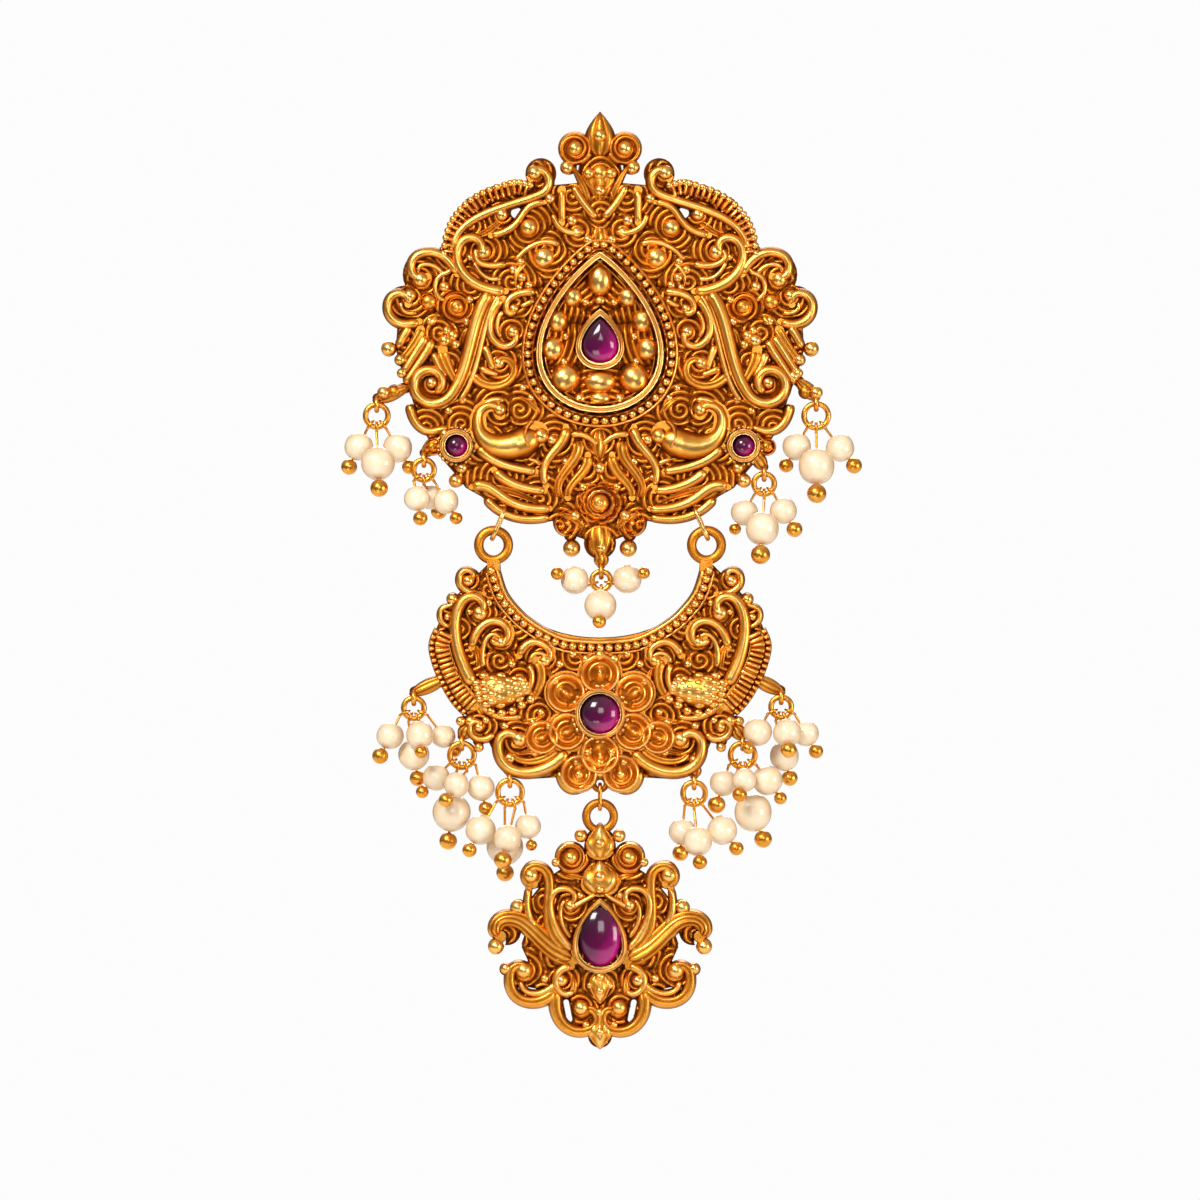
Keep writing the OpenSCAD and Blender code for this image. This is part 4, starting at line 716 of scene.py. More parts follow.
HOLLOW_EDGE = [
    (0, -37.5), (2.25, -37.38), (4.31, -37.12), (6.38, -36.25), (8.25, -35.12), (9.88, -33.75),
    (11.62, -31.5), (12.62, -28.5),
]
hollow_edge = smooth_line(HOLLOW_EDGE, 80)
hollow_full = np.vstack([hollow_edge[::-1], hollow_edge[1:] * [-1, 1]])
outer_rim, inner_rim = [
    carried(even_line(beside(hollow_full, off), 0.3, 0.4)[0], half, flutes(1), crest)
    for off, half, crest in ((0.3, 0.45, -2.55), (1.69, 0.3, -2.3))
]
rim_beads = bead_row(beside(hollow_full, 1), 1.15, 0.55, -2.9)
laid("crescent_wires", crescent_sheets + [outer_rim] + rim_beads + [inner_rim], "crescent")

# Chased ground of the crescent: the same nested ribs as on the main plate, punched into
# the second sheet between its hollow and its lobed lower edge.
CRESCENT_OUTLINE = [
    (13.25, -27.26), (15.01, -29.01), (17.24, -31.25), (19.25, -33.23), (20.5, -36.23), (20.5, -39.37),
    (19.63, -42.5), (17.99, -45.38), (16.01, -47.75), (14, -50), (12.5, -53.23), (9.01, -54.88),
    (5, -54.62), (0, -54.48),
]
CRESCENT_LOBES = [
    (16.43, -30.06, 1.63), (18.37, -32.37, 0.82), (19, -34.55, 1.32), (15.13, -48.38, 1.38),
    (16.93, -47.62, 0.67), (15.13, -50.06, 0.75), (10.62, -50.62, 2.13), (2.63, -54.12, 2.49),
]
CRESCENT_CURL_CENTRES = [
    (16.5, -30.12), (18.38, -32.38), (15, -34.12), (12.38, -37.62), (6.88, -40), (15, -48.38),
    (10.12, -49.88), (9.88, -42.5), (19, -37.5), (18.12, -43.75), (3.12, -39.38), (5, -43.75),
    (7.5, -46.88), (12.5, -40), (16.25, -39.38), (6.88, -53.12), (0, -39.38), (12.62, -45), (13.75, -31.25),
    (10.62, -35.62), (0, -53.75), (3.12, -54.38), (0, -46.62), (17.5, -36.25),
]
crescent_outline = list(hollow_edge) + CRESCENT_OUTLINE
ribbed_ground("crescent_chased_ground", crescent_outline, CRESCENT_LOBES, CRESCENT_CURL_CENTRES, "crescent")

# Ribbed horns along the crescent's outer edges: stout half-round bands of gold, notched
# across and soldered along the rim of the sheet.
HORN = [
    (19.25, -36.5), (19.88, -38.12), (19.62, -39.75), (19, -41.5), (18.12, -43.25), (17.12, -44.75),
    (16, -45.88),
]
horn = smooth_line(HORN, 60)
horns = [ribbed(beside(horn, -0.19), 2.25, 16, -2.3, -2.85), ribbed(beside(horn, 1.12), 0.88, 16, -1.8, -2.5)]
laid("crescent_horns", mirrored(horns), "crescent")

# Peacocks on the wings of the crescent: a domed body set with feather tips, a neck that
# runs into the inner fan, and a row of seed grains under the breast.
FIRST_ROW, ROWS_SPAN = 0.10, 0.78   # where along the body the feathers start, and how far they go
TIP_PROUD = 0.14                    # how far a feather tip stands out of the back, mm
TIP_LONG = 1.45                     # its length to its width
FEATHERED = 1.5                     # how far a row spreads across the back, where 2 is all of it


def feathers(line, halves, crests, rows, columns, size):
    """Feather tips over such a body: small ovals in staggered rows, each standing a little proud
    of the round back."""
    tips = []
    for row in range(rows):
        share = FIRST_ROW + ROWS_SPAN * row / (rows - 1)
        at = share * (len(line) - 1)
        spot = points_at(at, np.arange(len(line)), line)
        way = line[min(int(at) + 1, len(line) - 1)] - line[int(at) - 1]
        way /= np.hypot(*way)
        half, crest = shared_out(halves, share), shared_out(crests, share)
        turn = math.degrees(math.atan2(way[1], way[0]))
        for across in (np.arange(columns + row % 2) - (columns - 1 + row % 2) / 2) * FEATHERED / columns:
            x, z = spot + half * across * np.array([-way[1], way[0]])
            top = SEAT + (crest - SEAT) * rounded(across) - TIP_PROUD
            tips.append(ball_cap(x, z, size, top, TIP_LONG, turn, rows=5, columns=12))
    return tips


BACK_LINE = [(15.75, -44), (14.5, -43.75), (13.12, -43.75), (11.5, -43.75), (10, -43.5), (8.5, -42.75)]
BREAST_LINE = [(13.62, -46.38), (12.12, -46.62), (10.62, -46.25), (9.5, -45.38), (8.62, -44.88)]
BODY_HALVES = [1.12, 2.25, 2.5, 2.38, 1.88, 1.38, 0.88]
BODY_CRESTS = [-2.6, -3.3, -3.55, -3.5, -3.2, -2.9, -2.6]
body_line = smooth_line(BACK_LINE, 40)
peacock = [swollen(body_line, BODY_HALVES, BODY_CRESTS)]
peacock += feathers(body_line, BODY_HALVES, BODY_CRESTS, 7, 4, 0.49)
peacock += bead_row(np.array(BREAST_LINE), 1.25, 0.62, -2.6)
laid("crescent_peacocks", mirrored(peacock), "crescent")

# Flower at the foot of the crescent: petals chased in nested ridges, round the raised
# setting and below it, with gold grains between them and at their tips.


FLOWER_MIDDLE = (0, -46.71)
RIM_AT, RIM_WIDE = 0.86, 0.13         # where a petal's rim and its ridge stand and how wide they
RIDGE_AT, RIDGE_WIDE = 0.52, 0.10     # are, as shares of its radius
TONGUE_LONG, TONGUE_WIDE = 0.30, 0.16
PETAL_FLOOR = 0.60                    # how high its hollows lie, as a share of its height
PETAL_EDGE = 0.55                     # and its outer edge
PETAL_HOLLOW_SHADE = 0.24                   # how pale its hollows are painted: painted shade there


def petal(x, z, radius, turn, crest):
    """A round petal seen as three nested arcs: a raised rim, a hollow, a second ridge and a
    domed tongue that points outward, each a bell curve of the share of the radius."""
    ring = np.linspace(0, 2 * np.pi, 40, endpoint=False)
    out = np.r_[1.0, np.linspace(1, 0, 21)][:, None]
    u, v = radius * out * np.cos(ring), radius * out * np.sin(ring)
    rim = np.exp(-((out - RIM_AT) / RIM_WIDE) ** 2) * np.ones(40)
    ridge = 0.75 * np.exp(-((out - RIDGE_AT) / RIDGE_WIDE) ** 2) * (np.cos(ring) > -0.6)
    tongue = np.exp(-(v / radius / TONGUE_WIDE) ** 2 - ((u / radius - 0.05) / TONGUE_LONG) ** 2)
    hills = np.clip(rim + ridge + tongue, 0, 1)
    y = SEAT + (crest - SEAT) * (PETAL_FLOOR + (1 - PETAL_FLOOR) * hills)
    y[:2] = [[SEAT], [SEAT + PETAL_EDGE * (crest - SEAT)]] * np.ones(40)
    # Painted highlight on the rim, the ridge and the tongue, painted shade in the hollows.
    highlight_and_shade = PETAL_HOLLOW_SHADE + (1 - PETAL_HOLLOW_SHADE) * hills ** 0.8
    return turned(u, v, y, turn, x, z), np.clip(highlight_and_shade, 0, 1)


def petal_at(x, z, radius, crest=-3.05):
    """A petal that points away from the flower's middle."""
    turn = math.degrees(math.atan2(z - FLOWER_MIDDLE[1], x - FLOWER_MIDDLE[0]))
    return petal(x, z, radius, turn, crest)


side_petals = [
    petal_at(7.25, -49.62, 2.19, -2.95), petal_at(4.25, -44.08, 2.56), petal_at(4.12, -48.88, 2.44),
    petal(2.62, -54.12, 2.44, -80, -2.95),
]
middle_petals = [petal_at(0, -41.69, 2.62, -3.15), petal_at(0, -51.75, 2.56, -3.2)]
flower_grains = [
    (1.75, -39.88, 0.62, -3.0), (1.5, -51.5, 0.56, -3.0), (5.62, -42.62, 0.56, -2.9),
    (6.38, -48.25, 0.5, -2.8), (2.62, -54.25, 0.56, -2.9),
]
middle_grains = [(0, -39.38, 0.69, -3.1), (0, -54, 0.69, -2.9), (0, -52.75, 0.56, -3.0)]
flower = mirrored(side_petals + [ball_cap(*row) for row in flower_grains])
flower += middle_petals + [ball_cap(*row) for row in middle_grains]
laid("crescent_flower", flower, "crescent")

# Shot and small leaves of the crescent: solid balls at the eyes of the scrolls and chased
# leaves in the angles between them, sweated on last.
CRESCENT_SHOT = [
    (16.44, -30.08, 0.75, -2.7), (18.38, -32.38, 0.75, -2.6), (15, -34.12, 1, -2.95),
    (12.3, -37.75, 0.69, -2.7), (6.88, -40.12, 0.75, -2.8), (19, -34.62, 0.5, -2.4),
    (15.12, -48.38, 0.62, -2.6), (17.38, -47.62, 0.62, -2.5), (15.12, -50.88, 0.62, -2.5),
    (10.06, -49.88, 1, -2.95), (9.88, -42.5, 0.56, -3.0), (14.62, -39.38, 0.5, -2.3),
    (11, -40.5, 0.56, -2.4), (16.75, -40, 0.44, -2.3), (13.88, -32.88, 0.5, -2.3), (5, -40.5, 0.56, -2.4),
    (3.38, -39.25, 0.56, -2.4), (11.88, -48.25, 0.56, -2.4), (8.38, -47.75, 0.5, -2.3),
    (7.38, -46.5, 0.5, -2.3), (14.25, -47.5, 0.5, -2.3), (3, -52.75, 0.56, -2.4), (8.12, -51.5, 0.56, -2.4),
    (16.25, -34, 0.44, -2.2), (11.25, -36.25, 0.44, -2.2),
]
crescent_leaves = [
    leaf((15.25, -41.5), (16.25, -37.5), 1, 2, 0.1, -2.3),
    leaf((10.75, -40.75), (11.5, -39), 1, 2, 0.0, -2.3),
    leaf((5.25, -52.12), (11, -52), 1.38, 3, 0.12, -2.4),
    leaf((6, -43.75), (6.88, -40.5), 1.12, 2, 0.1, -2.3), leaf((14.5, -47), (16, -45), 1, 2, 0.0, -2.3),
    leaf((3.12, -38.75), (6.5, -37.5), 0.88, 1, 0.0, -2.2),
    leaf((13.5, -32), (14.5, -29.38), 0.88, 1, 0.1, -2.3),
    leaf((10, -47.75), (6.5, -46.5), 1.12, 2, 0.1, -2.2),
    leaf((1.25, -40.75), (3.75, -38.25), 1, 2, 0.0, -2.2),
]
crescent_small = [ball_cap(*row) for row in CRESCENT_SHOT] + crescent_leaves
laid("crescent_shot_and_leaves", mirrored(crescent_small), "crescent")

# Scroll wires of the pendant: curled stems, fans and two fluted arms, soldered on the
# third, smallest sheet.
PENDANT_WIRES = [
    ("shoulder", (4, -76.25), (7.75, -73.75), (6, -70), (6.38, -67.25), 1.12, 0.88, 2, -2.65, 1.88, -270),
    ("fan", (3.38, -76.25), (6.75, -73.12), (7.25, -68.25), (4.25, -68.5), 0.94, 0.62, 1, -2.6, 1.38, 170),
    ("fan core", (3.5, -74.75), (5, -73.25), (5.5, -71), (4.25, -69.88), 0.62, 0.5, 1, -2.3),
    ("stroke", (8, -73.5), (9.25, -72), (9.25, -70.25), (8.88, -68.5), 0.88, 0.62, 1, -2.5),
    ("arm", (3.25, -77.25), (7.75, -76), (8.5, -71.75), (11.75, -72.25), 2, 1.25, 4, -2.75, 1.75, -150),
    ("side", (5.5, -81.25), (7.5, -83.75), (11.75, -83), (11.25, -79.25), 1.19, 0.81, 2, -2.6, 1.5, 230),
    ("side core", (5.5, -80.25), (7, -82.25), (10, -82), (9.88, -80), 0.75, 0.56, 1, -2.35),
    ("foot", (5.38, -81.25), (6.25, -84.75), (4, -87), (1.5, -86.25), 1.19, 0.81, 2, -2.6, 1.88, -190),
    ("inner", (3.5, -78.25), (5.5, -78.25), (6.25, -80.5), (4.75, -81.5), 0.94, 0.62, 1, -2.55, 1.25, -120),
    ("hook", (4, -71.5), (3, -70.25), (1.25, -70), (0.5, -69), 0.75, 0.62, 1, -2.4),
]
laid("pendant_wires", wires(PENDANT_WIRES), "pendant")

# Chased ground of the pendant: nested ribs again, left out where slots are sawn through
# the sheet between the arms and the foot.
PENDANT_OUTLINE = [
    (0, -62.71), (2.82, -64.56), (4.74, -66.01), (6.87, -67.48), (9.38, -70.63), (9.02, -73.12),
    (9.87, -75.65), (8.46, -78.73), (6.87, -81.19), (4.99, -83.72), (0, -86.43),
]
PENDANT_LOBES = [
    (0, -62.74, 1.88), (2.37, -61.94, 0.82), (3.67, -64.62, 2), (8.11, -66.74, 1.75), (10.08, -70.87, 1),
    (11.6, -73.86, 1.75), (12.97, -75.71, 1), (11.77, -78.6, 0.79), (8.85, -80.24, 2.62),
    (2.88, -83.62, 2.75), (0, -86.92, 1.49),
]
PENDANT_CURL_CENTRES = [
    (8.62, -66.88), (3.75, -70.62), (3.62, -64.62), (10.38, -70.88), (11.88, -74.38), (9.5, -78.88),
    (4.75, -80), (2.38, -83.38), (6.88, -81.88), (0, -62.75), (0, -67.5), (6.25, -73.12), (0, -80.62),
    (5, -76.88), (0, -86.25), (6.88, -70),
]
PENDANT_GAPS = [
    (10.08, -75.65, 0.5), (10.47, -76.11, 0.5), (10.86, -76.57, 0.5), (12.13, -74.41, 0.5),
    (12.13, -74.88, 0.5), (12.13, -75.34, 0.5), (7.33, -81.5, 0.5), (8.6, -81.27, 0.5), (9.87, -81.04, 0.5),
    (4.23, -82.73, 0.5), (4.02, -83.81, 0.5), (3.81, -84.89, 0.5),
]
ribbed_ground(
    "pendant_chased_ground", PENDANT_OUTLINE, PENDANT_LOBES, PENDANT_CURL_CENTRES, "pendant", PENDANT_GAPS
)

# Leaves and shot of the pendant: domed, veined leaves down its middle, flat ones between
# the scrolls, and solid balls at their eyes and tips.
VEIN_DEEP = 0.10   # mm
VEIN_COUNT = 12    # in a full turn round the leaf's foot
DOME_ROUND = 2.4   # power of the dome, as ROUND is of a wire


def pear_dome(x, z, wide, tall, crest, upside=1):
    """A leaf beaten up over a pear outline: rings of the outline shrink as the dome rises, and
    shallow veins fan out from its foot."""
    line = pear_line(wide, tall * upside, points=72)
    out = np.r_[1.0, np.linspace(1, 0, 12)][:, None]
    dome = np.r_[0.0, (1 - np.linspace(1, 0, 12) ** DOME_ROUND) ** (1 / DOME_ROUND)][:, None] * np.ones(72)
    u, v = out * line[:, 0], out * line[:, 1]
    fan = np.cos(VEIN_COUNT * np.arctan2(u, v * upside + 0.62 * tall))
    fan = fan * np.clip(out * 1.5, 0, 1) * (dome > 0.05)
    y = SEAT + (crest - SEAT) * dome - VEIN_DEEP * fan
    y[0] = SEAT
    # Painted highlight on the dome's top and its raised veins, painted shade at its foot and in the vein
    # grooves.
    return np.stack([x + u, y, z + v], 2), np.clip(0.82 * dome + 0.30 * fan, 0, 1) * (dome > 0.02)


PENDANT_SHOT = [
    (2.38, -61.94, 0.81, -2.6), (3.62, -64.62, 0.88, -2.8), (8.62, -66.88, 1, -2.9),
    (3.67, -70.62, 0.75, -2.7), (10.3, -70.88, 0.94, -2.5), (13, -75.75, 1, -2.9),
    (11.75, -78.5, 0.69, -2.5), (9.5, -78.75, 1.06, -2.9), (2.38, -83.38, 1, -2.8), (4.75, -80, 0.75, -2.7),
    (6.88, -79.75, 0.56, -2.4), (5.5, -65.25, 0.56, -2.4), (1.25, -80.62, 0.44, -2.3),
    (5.25, -77.25, 0.56, -2.4), (7.5, -66, 0.5, -2.3), (1.75, -85.5, 0.5, -2.4), (2.5, -69.38, 0.5, -2.3),
]
pendant_leaves = [
    leaf((9, -71.5), (10.75, -70), 1.12, 2, 0.1, -2.3), leaf((1.88, -67.5), (4.75, -67), 1, 2, 0.1, -2.3),
    leaf((3.5, -82), (3.5, -79), 1.12, 2, 0.1, -2.4),
]
pendant_middle = [
    pear_dome(0, -62.69, 4, 4.88, -2.75), pear_dome(0, -67.19, 5.12, 4.88, -2.9),
    pear_dome(0, -80.88, 2.88, 4.38, -2.75, -1), pear_dome(0, -86.75, 3.25, 3.75, -2.7, -1),
]
PENDANT_GRAINS = [
    (0, -67, 0.81, -3.3), (0, -68.62, 0.56, -3.1), (0, -62.88, 0.75, -3.1), (0, -79.5, 0.62, -3.1),
    (0, -81.25, 0.56, -3.0), (0, -84, 0.62, -2.6), (0, -86.38, 0.56, -3.0),
]
pendant_pairs = [ball_cap(*row) for row in PENDANT_SHOT] + pendant_leaves
pendant_pairs.append(button(3.67, -64.62, rings_profile(1.94, (0.86,), -2.7)))
pendant_small = mirrored(pendant_pairs) + pendant_middle + [ball_cap(*row) for row in PENDANT_GRAINS]
laid("pendant_shot_and_leaves", pendant_small, "pendant")

# Settings: a rounded lip rubbed over the top of each raised collar, and a row of tiny
# grains round the foot of the round ones.
LIP_OFF = 0.40    # the lip's middle line lies this far outside the stone
LIP_WIDE = 0.86
LIP_TOP = -3.45   # y of its crest
POINT_ROOM = 1.25   # a pear's lip stands off this many times as far at its point and its foot


def stone_size(name):
    """The middle and the half size of a stone, in mm."""
    low, high = (np.array(corner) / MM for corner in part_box(name))
    return (low + high) / 2, (high - low) / 2


def lip(stone, pear):
    """The rounded rim of a collar: a closed wire LIP_OFF mm outside the stone's own outline."""
    (x, y, z), (half_wide, deep, half_tall) = stone_size(stone)
    wide, tall = half_wide + LIP_OFF, half_tall + (POINT_ROOM if pear else 1) * LIP_OFF
    turn = np.linspace(0, 2 * np.pi, 96, endpoint=False)
    ellipse = np.stack([x + wide * np.sin(turn), z + tall * np.cos(turn)], 1)
    return hoop(pear_line(2 * wide, 2 * tall, (x, z), 96) if pear else ellipse, LIP_WIDE, LIP_TOP)


main_lips = [lip("main_stone", True), lip("side_stone_left", False), lip("side_stone_right", False)]
laid("main_setting_lips", main_lips, "main")
laid("crescent_setting_lip", [lip("crescent_stone", False)], "crescent")
laid("pendant_setting_lip", [lip("pendant_stone", True)], "pendant")


GRAIN_PITCH = 2.15   # from grain to grain, in radii of a grain


def grain_ring(stone, off, radius, crest):
    """Small balls round a stone's own outline, off mm outside it."""
    (x, y, z), (half_wide, deep, half_tall) = stone_size(stone)
    turn = np.linspace(0, 2 * np.pi, 121)
    ellipse = np.stack([x + (half_wide + off) * np.cos(turn), z + (half_tall + off) * np.sin(turn)], 1)
    return bead_row(ellipse, GRAIN_PITCH * radius, radius, crest)


side_grains = [grain_ring(stone, 0.95, 0.28, -1.9) for stone in ("side_stone_left", "side_stone_right")]
laid("side_setting_grains", side_grains[0] + side_grains[1], "main")
laid("crescent_setting_grains", grain_ring("crescent_stone", 1.0, 0.34, -2.5), "crescent")

# Tabs at the rims that carry the eyes of the jump rings: short tongues of the sheet with
# a fluted leaf laid over each and a grain where it leaves the scrollwork.
RING_TABS = {
    "main": [
        (-28.38, -7.7, -23.25, -5.6), (27.3, -7.58, 24.14, -4.57), (-22.28, -14.57, -19.34, -11.78),
        (20.68, -16.32, 18.72, -13.31), (0.16, -28.52, 0.16, -25.96),
    ],
    "crescent": [
        (-23.79, -44.32, -18.18, -41.76), (23.12, -44.19, 17.99, -41.63), (-17.36, -49.95, -16.14, -47.61),
        (17.97, -49.95, 16.27, -47.61), (-11.24, -54.57, -11.24, -52.23), (11.75, -54.83, 11.75, -52.48),
    ],
}
for body, rows in RING_TABS.items():
    tongues = [leaf((x0, z0), (x1, z1), 1.9, 3, 0.0, -2.0, 0.8) for x0, z0, x1, z1 in rows]
    tongues += [ball_cap(x1, z1, 0.75, -2.5) for x0, z0, x1, z1 in rows]
    laid(body + "_ring_tabs", tongues, body)

# Stones: foiled red-violet paste cabochons, held in the collars. Their colour is a deep
# purple with a painted magenta glow low on the right, standing in for light that comes back out of the foil.
NIGHT_PURPLE = (0.016, 0.001, 0.014, 1)
WINE = (0.085, 0.001, 0.040, 1)
MAGENTA_GLOW = (0.480, 0.004, 0.220, 1)
GIRDLE = 0.45   # how far up the stone its straight wall goes, as a share of its depth


def painted_glow_finish(name, middle, half):
    """Glassy violet whose colour is a slope on Object coordinates, from night purple at the
    upper left to a painted magenta glow at the lower right of the stone, broken by faint clouds."""
    finish, tree, glass = new_finish(name + " paste")
    centre = node(tree, "Mapping", {
        "Location": list(-middle / half), "Scale": list(1 / (half * MM)), "Vector": object_place(tree),
    }).outputs[0]
    split = node(tree, "SeparateXYZ", {"Vector": centre})
    # Painted glow: the colour brightens from the upper left to the lower right.
    glow_slope = node(tree, "Math", {0: split.outputs["X"], 1: split.outputs["Z"]}, operation="SUBTRACT")
    cloud = node(tree, "TexNoise", {"Scale": 1.6, "Vector": centre})
    blend = {0: cloud.outputs["Fac"], 1: 0.9, 2: glow_slope.outputs[0]}
    blend = node(tree, "Math", blend, operation="MULTIPLY_ADD").outputs[0]
    span = node(tree, "MapRange", {"From Min": -0.7, "From Max": 2.0, "Value": blend})
    colour = ramp(tree, span.outputs["Result"], ((0.0, NIGHT_PURPLE), (0.5, WINE), (1.0, MAGENTA_GLOW)))
    # The colour is also emitted as a faint painted glow, though the stone is no lamp.
    feed(tree, glass, {
        "Roughness": 0.13, "Coat Weight": 0.25, "Coat Roughness": 0.08, "IOR": 1.5,
        "Base Color": colour, "Emission Color": colour, "Emission Strength": 0.12,
    })
    return finish


def paste_stone(name, stone, body, pear):
    """A smooth dome over an ellipse or a pear: rings of the outline shrink as the cosine while
    the dome rises as the sine."""
    middle, half = stone_size(stone)
    t = np.linspace(0, 2 * np.pi, 72, endpoint=False)
    side = pear_line(2, 2, points=72)[:, 0] if pear else np.sin(t)
    up = np.linspace(0, np.pi / 2, 14)
    out = np.r_[0.0, 0.96, 1.0, np.cos(up[1:])][:, None]
    foot, crest = middle[1] + half[1], middle[1] - half[1]
    girdle = foot - GIRDLE * (foot - crest)
    depth = np.r_[foot, foot, girdle, girdle - (girdle - crest) * np.sin(up[1:])][:, None] * np.ones(72)
    points = np.stack([middle[0] + half[0] * out * side, depth, middle[2] + half[2] * out * np.cos(t)], 2)
    finish = painted_glow_finish(name, middle, half)
    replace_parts(laid(name, [(points, np.ones(points.shape[:2]))], body, finish), stone)


paste_stone("main_paste", "main_stone", "main", True)
paste_stone("side_paste_left", "side_stone_left", "main", False)
paste_stone("side_paste_right", "side_stone_right", "main", False)
paste_stone("crescent_paste", "crescent_stone", "crescent", False)
paste_stone("pendant_paste", "pendant_stone", "pendant", False)

# Pearls: drilled cream pearls, not quite round, threaded on the gold pins below each
# jump ring. Rows give the middle of each pearl and its diameter, in mm.
PEARLS = {
    "main_outer_left": [
        (-30.12, -0.8, -13.31, 3.6), (-27.67, -3.34, -15.45, 4.32), (-25.29, -0.54, -13.47, 3.78),
    ],
    "main_outer_right": [
        (24.58, -0.64, -13.31, 3.6), (26.99, -3.24, -15.81, 4.68), (29.99, -0.83, -13.46, 3.6),
    ],
    "main_inner_left": [
        (-22.84, -2.35, -19.82, 3.24), (-21.12, 0.61, -19.6, 3.24), (-19.21, -2.32, -20.18, 3.24),
    ],
    "main_inner_right": [
        (18.05, -0.26, -21.54, 3.42), (20.23, -2.98, -23.57, 4.32), (22.91, -0.79, -21.32, 3.42),
    ],
    "main_centre": [(-3.13, -2.94, -30.01, 3.6), (0.05, -3.68, -33.19, 4.03), (3.4, -3.09, -29.9, 3.6)],
    "crescent_1_left": [
        (-26.19, -1.82, -49.44, 3.42), (-23.27, -0.21, -51.84, 3.96), (-22.46, -3.27, -49.32, 3.6),
        (-19.57, -0.58, -49.49, 3.06),
    ],
    "crescent_1_right": [
        (19.66, -3.22, -48.93, 3.6), (23.05, 0.31, -52.03, 3.78), (23.34, -3.39, -49.03, 3.6),
        (25.71, -0.81, -49.18, 3.24),
    ],
    "crescent_2_left": [
        (-20.44, -0.92, -54.65, 3.42), (-18.54, -0.68, -59.05, 4.86), (-17.88, -3.2, -55.54, 3.24),
        (-14.86, -1.05, -55.92, 3.42),
    ],
    "crescent_2_right": [
        (15.41, -0.9, -55.33, 3.42), (19.12, -0.39, -59.04, 4.86), (17.98, -3.21, -54.96, 3.06),
        (20.91, -1.13, -55.02, 3.78),
    ],
    "crescent_3_left": [
        (-14.89, -2.07, -61.2, 3.78), (-11.89, 0.84, -63.4, 4.68), (-11.49, -3.82, -62.27, 3.6),
        (-8.98, -1.36, -60.74, 3.24),
    ],
    "crescent_3_right": [
        (10.29, -0.3, -61.46, 3.42), (12.16, -3.72, -62.55, 3.78), (15.26, -1.19, -61.24, 3.78),
    ],
}
DARK_CREAM, CREAM, WARM_RIM_SHADE = (0.80, 0.66, 0.45, 1), (0.88, 0.78, 0.61, 1), (0.58, 0.33, 0.12, 1)
pearl_lustre, tree, nacre = new_finish("pearl lustre")
clouds = node(tree, "TexNoise", {"Scale": 420, "Detail": 3, "Vector": object_place(tree)}).outputs["Fac"]
cream = ramp(tree, clouds, ((0.30, DARK_CREAM), (0.60, CREAM)))
# Painted shade: toward the edges that turn away, the cream is mixed toward the darker warm rim colour.
facing = node(tree, "LayerWeight", {"Blend": 0.35}).outputs["Facing"]
rim_shade_mix = node(tree, "Mix", {"Factor": facing, "A": cream, "B": WARM_RIM_SHADE}, data_type="RGBA")
bumps = node(tree, "Bump", {"Strength": 0.12, "Distance": 0.0002, "Height": clouds})
feed(tree, nacre, {
    "Roughness": 0.30, "Coat Weight": 0.6, "Coat Roughness": 0.12, "Subsurface Weight": 0.25,
    "Subsurface Radius": (1.0, 0.75, 0.5), "Subsurface Scale": 0.0006,
    "Base Color": rim_shade_mix.outputs["Result"], "Normal": bumps.outputs["Normal"],
})


WAIST_WAVE, LENGTH_WAVE = 0.018, 0.014   # a pearl's swellings round it and down it, as shares
MEAN_RADIUS = 0.985                      # its mean radius, as a share of half its diameter


def pearl(x, y, z, wide, seed):
    """A sphere whose radius swells and sinks by a few hundredths in slow waves."""
    down = np.linspace(0, np.pi, 21)[:, None]
    ring = np.linspace(0, 2 * np.pi, 36, endpoint=False)[None, :]
    belt = np.sin(down)
    swell = WAIST_WAVE * np.sin(2 * ring + seed) * belt ** 2
    swell = swell + LENGTH_WAVE * np.cos(3 * down + 1.7 * seed) * belt
    radius = wide / 2 * (MEAN_RADIUS + swell)
    points = [x + radius * belt * np.cos(ring), y + radius * belt * np.sin(ring), z + radius * np.cos(down)]
    return np.stack(points, 2), np.ones((21, 36))


for cluster, rows in PEARLS.items():
    strung = [pearl(*row, seed=1.3 * i + len(cluster)) for i, row in enumerate(rows)]
    piece = laid("strung_pearls_" + cluster, strung, cluster.split("_")[0], pearl_lustre)
    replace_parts(piece, "pearls_" + cluster)

# Where the ornament is shown: a pale floor below it, a bright even surround for the
# camera, and large soft lights, the strongest from the upper left as on the original.
FRAME_WIDE = 0.150   # metres across the picture: 1200 points at an eighth of a millimetre
DISTANCE = 1.2
LOOK_AT = (0.0, 0.0, -0.0325)
FLOOR_Z = -0.13
FLOOR_SIDE, FLOOR_FRONT, FLOOR_BACK = 0.6, -0.12, 0.33
lens = bpy.data.cameras.new("view")
lens.sensor_width = 36
lens.sensor_fit = "HORIZONTAL"
lens.lens = lens.sensor_width * DISTANCE / FRAME_WIDE
lens.clip_end = 20
camera = put("view", lens)
camera.location = (LOOK_AT[0], -DISTANCE, LOOK_AT[2])
camera.rotation_euler = (math.pi / 2, 0, 0)
bpy.context.scene.camera = camera

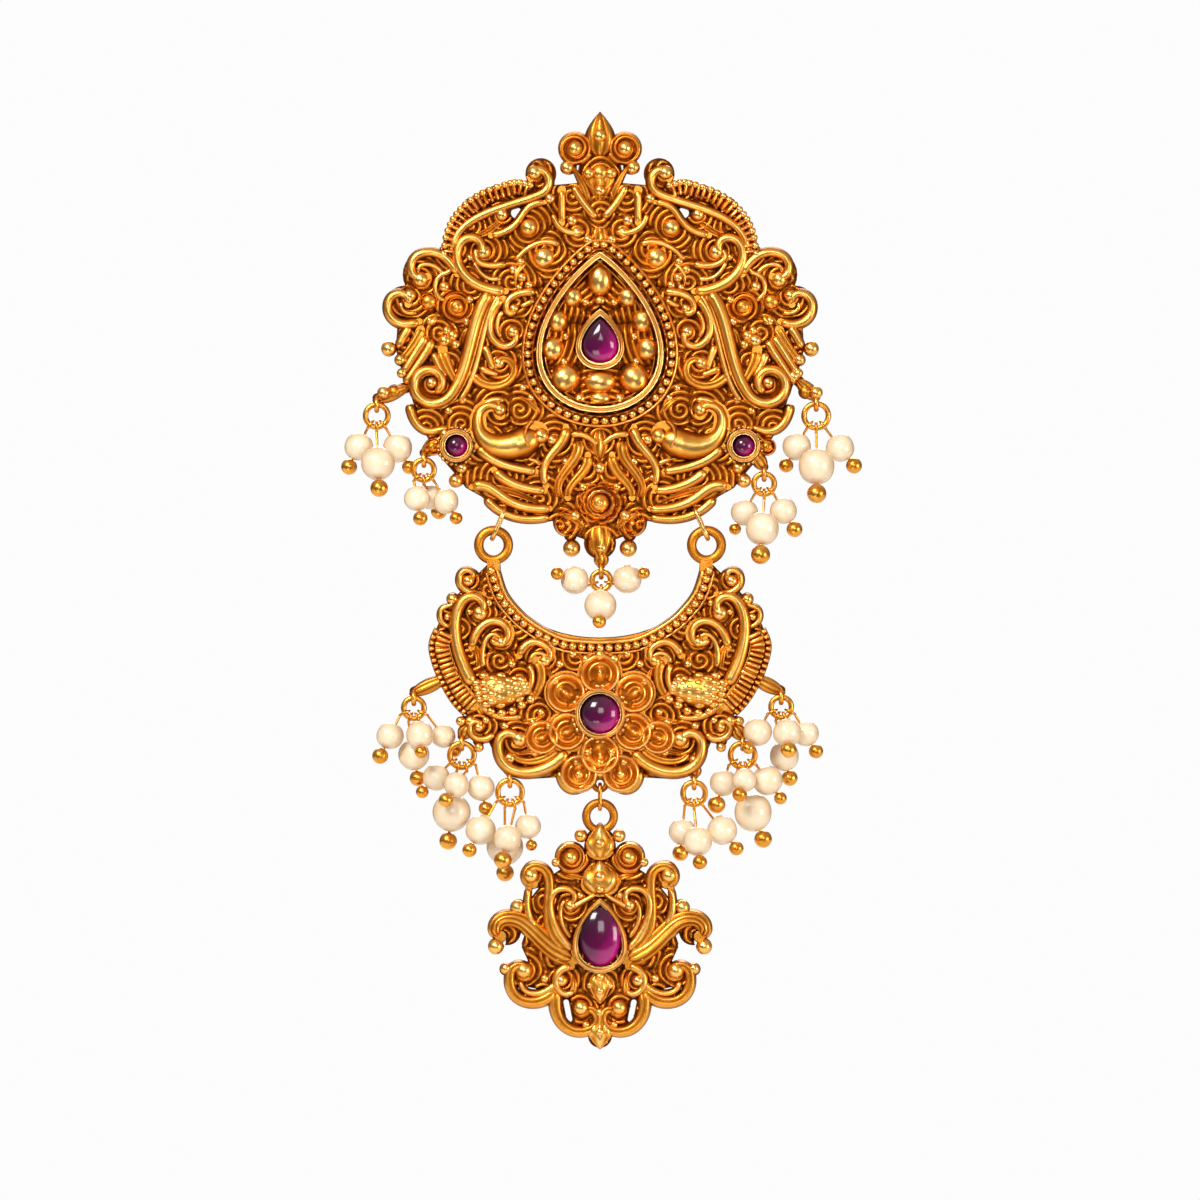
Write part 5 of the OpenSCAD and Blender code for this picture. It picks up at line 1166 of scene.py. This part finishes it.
floor_mesh = bpy.data.meshes.new("floor")
floor_corners = [
    (-FLOOR_SIDE, FLOOR_FRONT, FLOOR_Z), (FLOOR_SIDE, FLOOR_FRONT, FLOOR_Z),
    (FLOOR_SIDE, FLOOR_BACK, FLOOR_Z), (-FLOOR_SIDE, FLOOR_BACK, FLOOR_Z),
]
floor_mesh.from_pydata(floor_corners, [], [(0, 1, 2, 3)])
paint, tree, matt = new_finish("pale floor")
feed(tree, matt, {"Base Color": (0.86, 0.86, 0.85, 1), "Roughness": 0.8})
floor_mesh.materials.append(paint)
put("floor", floor_mesh)

surround = bpy.data.worlds.new("surround")
bpy.context.scene.world = surround
surround.use_nodes = True
tree = surround.node_tree
around = node(tree, "TexCoord", {}).outputs["Generated"]
height = node(tree, "SeparateXYZ", {"Vector": around}).outputs["Z"]
lift = node(tree, "MapRange", {"From Min": -1.0, "Value": height}).outputs["Result"]
LOW_TONE, LEVEL_TONE, HIGH_TONE = (0.09, 0.06, 0.04, 1), (0.24, 0.20, 0.16, 1), (0.80, 0.77, 0.72, 1)
tone = ramp(tree, lift, ((0.05, LOW_TONE), (0.50, LEVEL_TONE), (1.00, HIGH_TONE)))
feed(tree, tree.nodes["Background"], {"Color": tone, "Strength": 0.8})
seen = node(tree, "Background", {"Color": (0.98, 0.98, 0.98, 1)}).outputs[0]
by_camera = node(tree, "LightPath", {}).outputs["Is Camera Ray"]
choose = node(tree, "MixShader", {0: by_camera, 1: tree.nodes["Background"].outputs[0], 2: seen})
feed(tree, tree.nodes["World Output"], {"Surface": choose.outputs[0]})

# Name, place, width in metres, power in watts and colour of each light.
SOFT_LIGHTS = [
    ("key", (-0.32, -0.55, 0.42), 0.26, 5.0, (1.0, 0.97, 0.92)),
    ("front", (0.05, -0.95, 0.16), 0.30, 1.6, (1.0, 0.98, 0.95)),
    ("right", (0.55, -0.35, -0.05), 0.25, 1.8, (1.0, 0.95, 0.88)),
    ("back", (0.0, 0.60, 0.35), 0.40, 3.0, (1.0, 1.0, 1.0)),
    ("low", (-0.15, -0.50, -0.45), 0.25, 0.8, (1.0, 0.93, 0.85)),
]
for name, place, wide, power, colour in SOFT_LIGHTS:
    lamp = bpy.data.lights.new(name, "AREA")
    lamp.size, lamp.energy, lamp.color = wide, power, colour
    light = put(name, lamp)
    light.location = place
    x, y, z = np.array(LOOK_AT) - np.array(place)
    light.rotation_euler = (math.acos(-z / math.hypot(x, y, z)), 0, math.atan2(-x, y))
bpy.context.scene.view_settings.view_transform = "Standard"
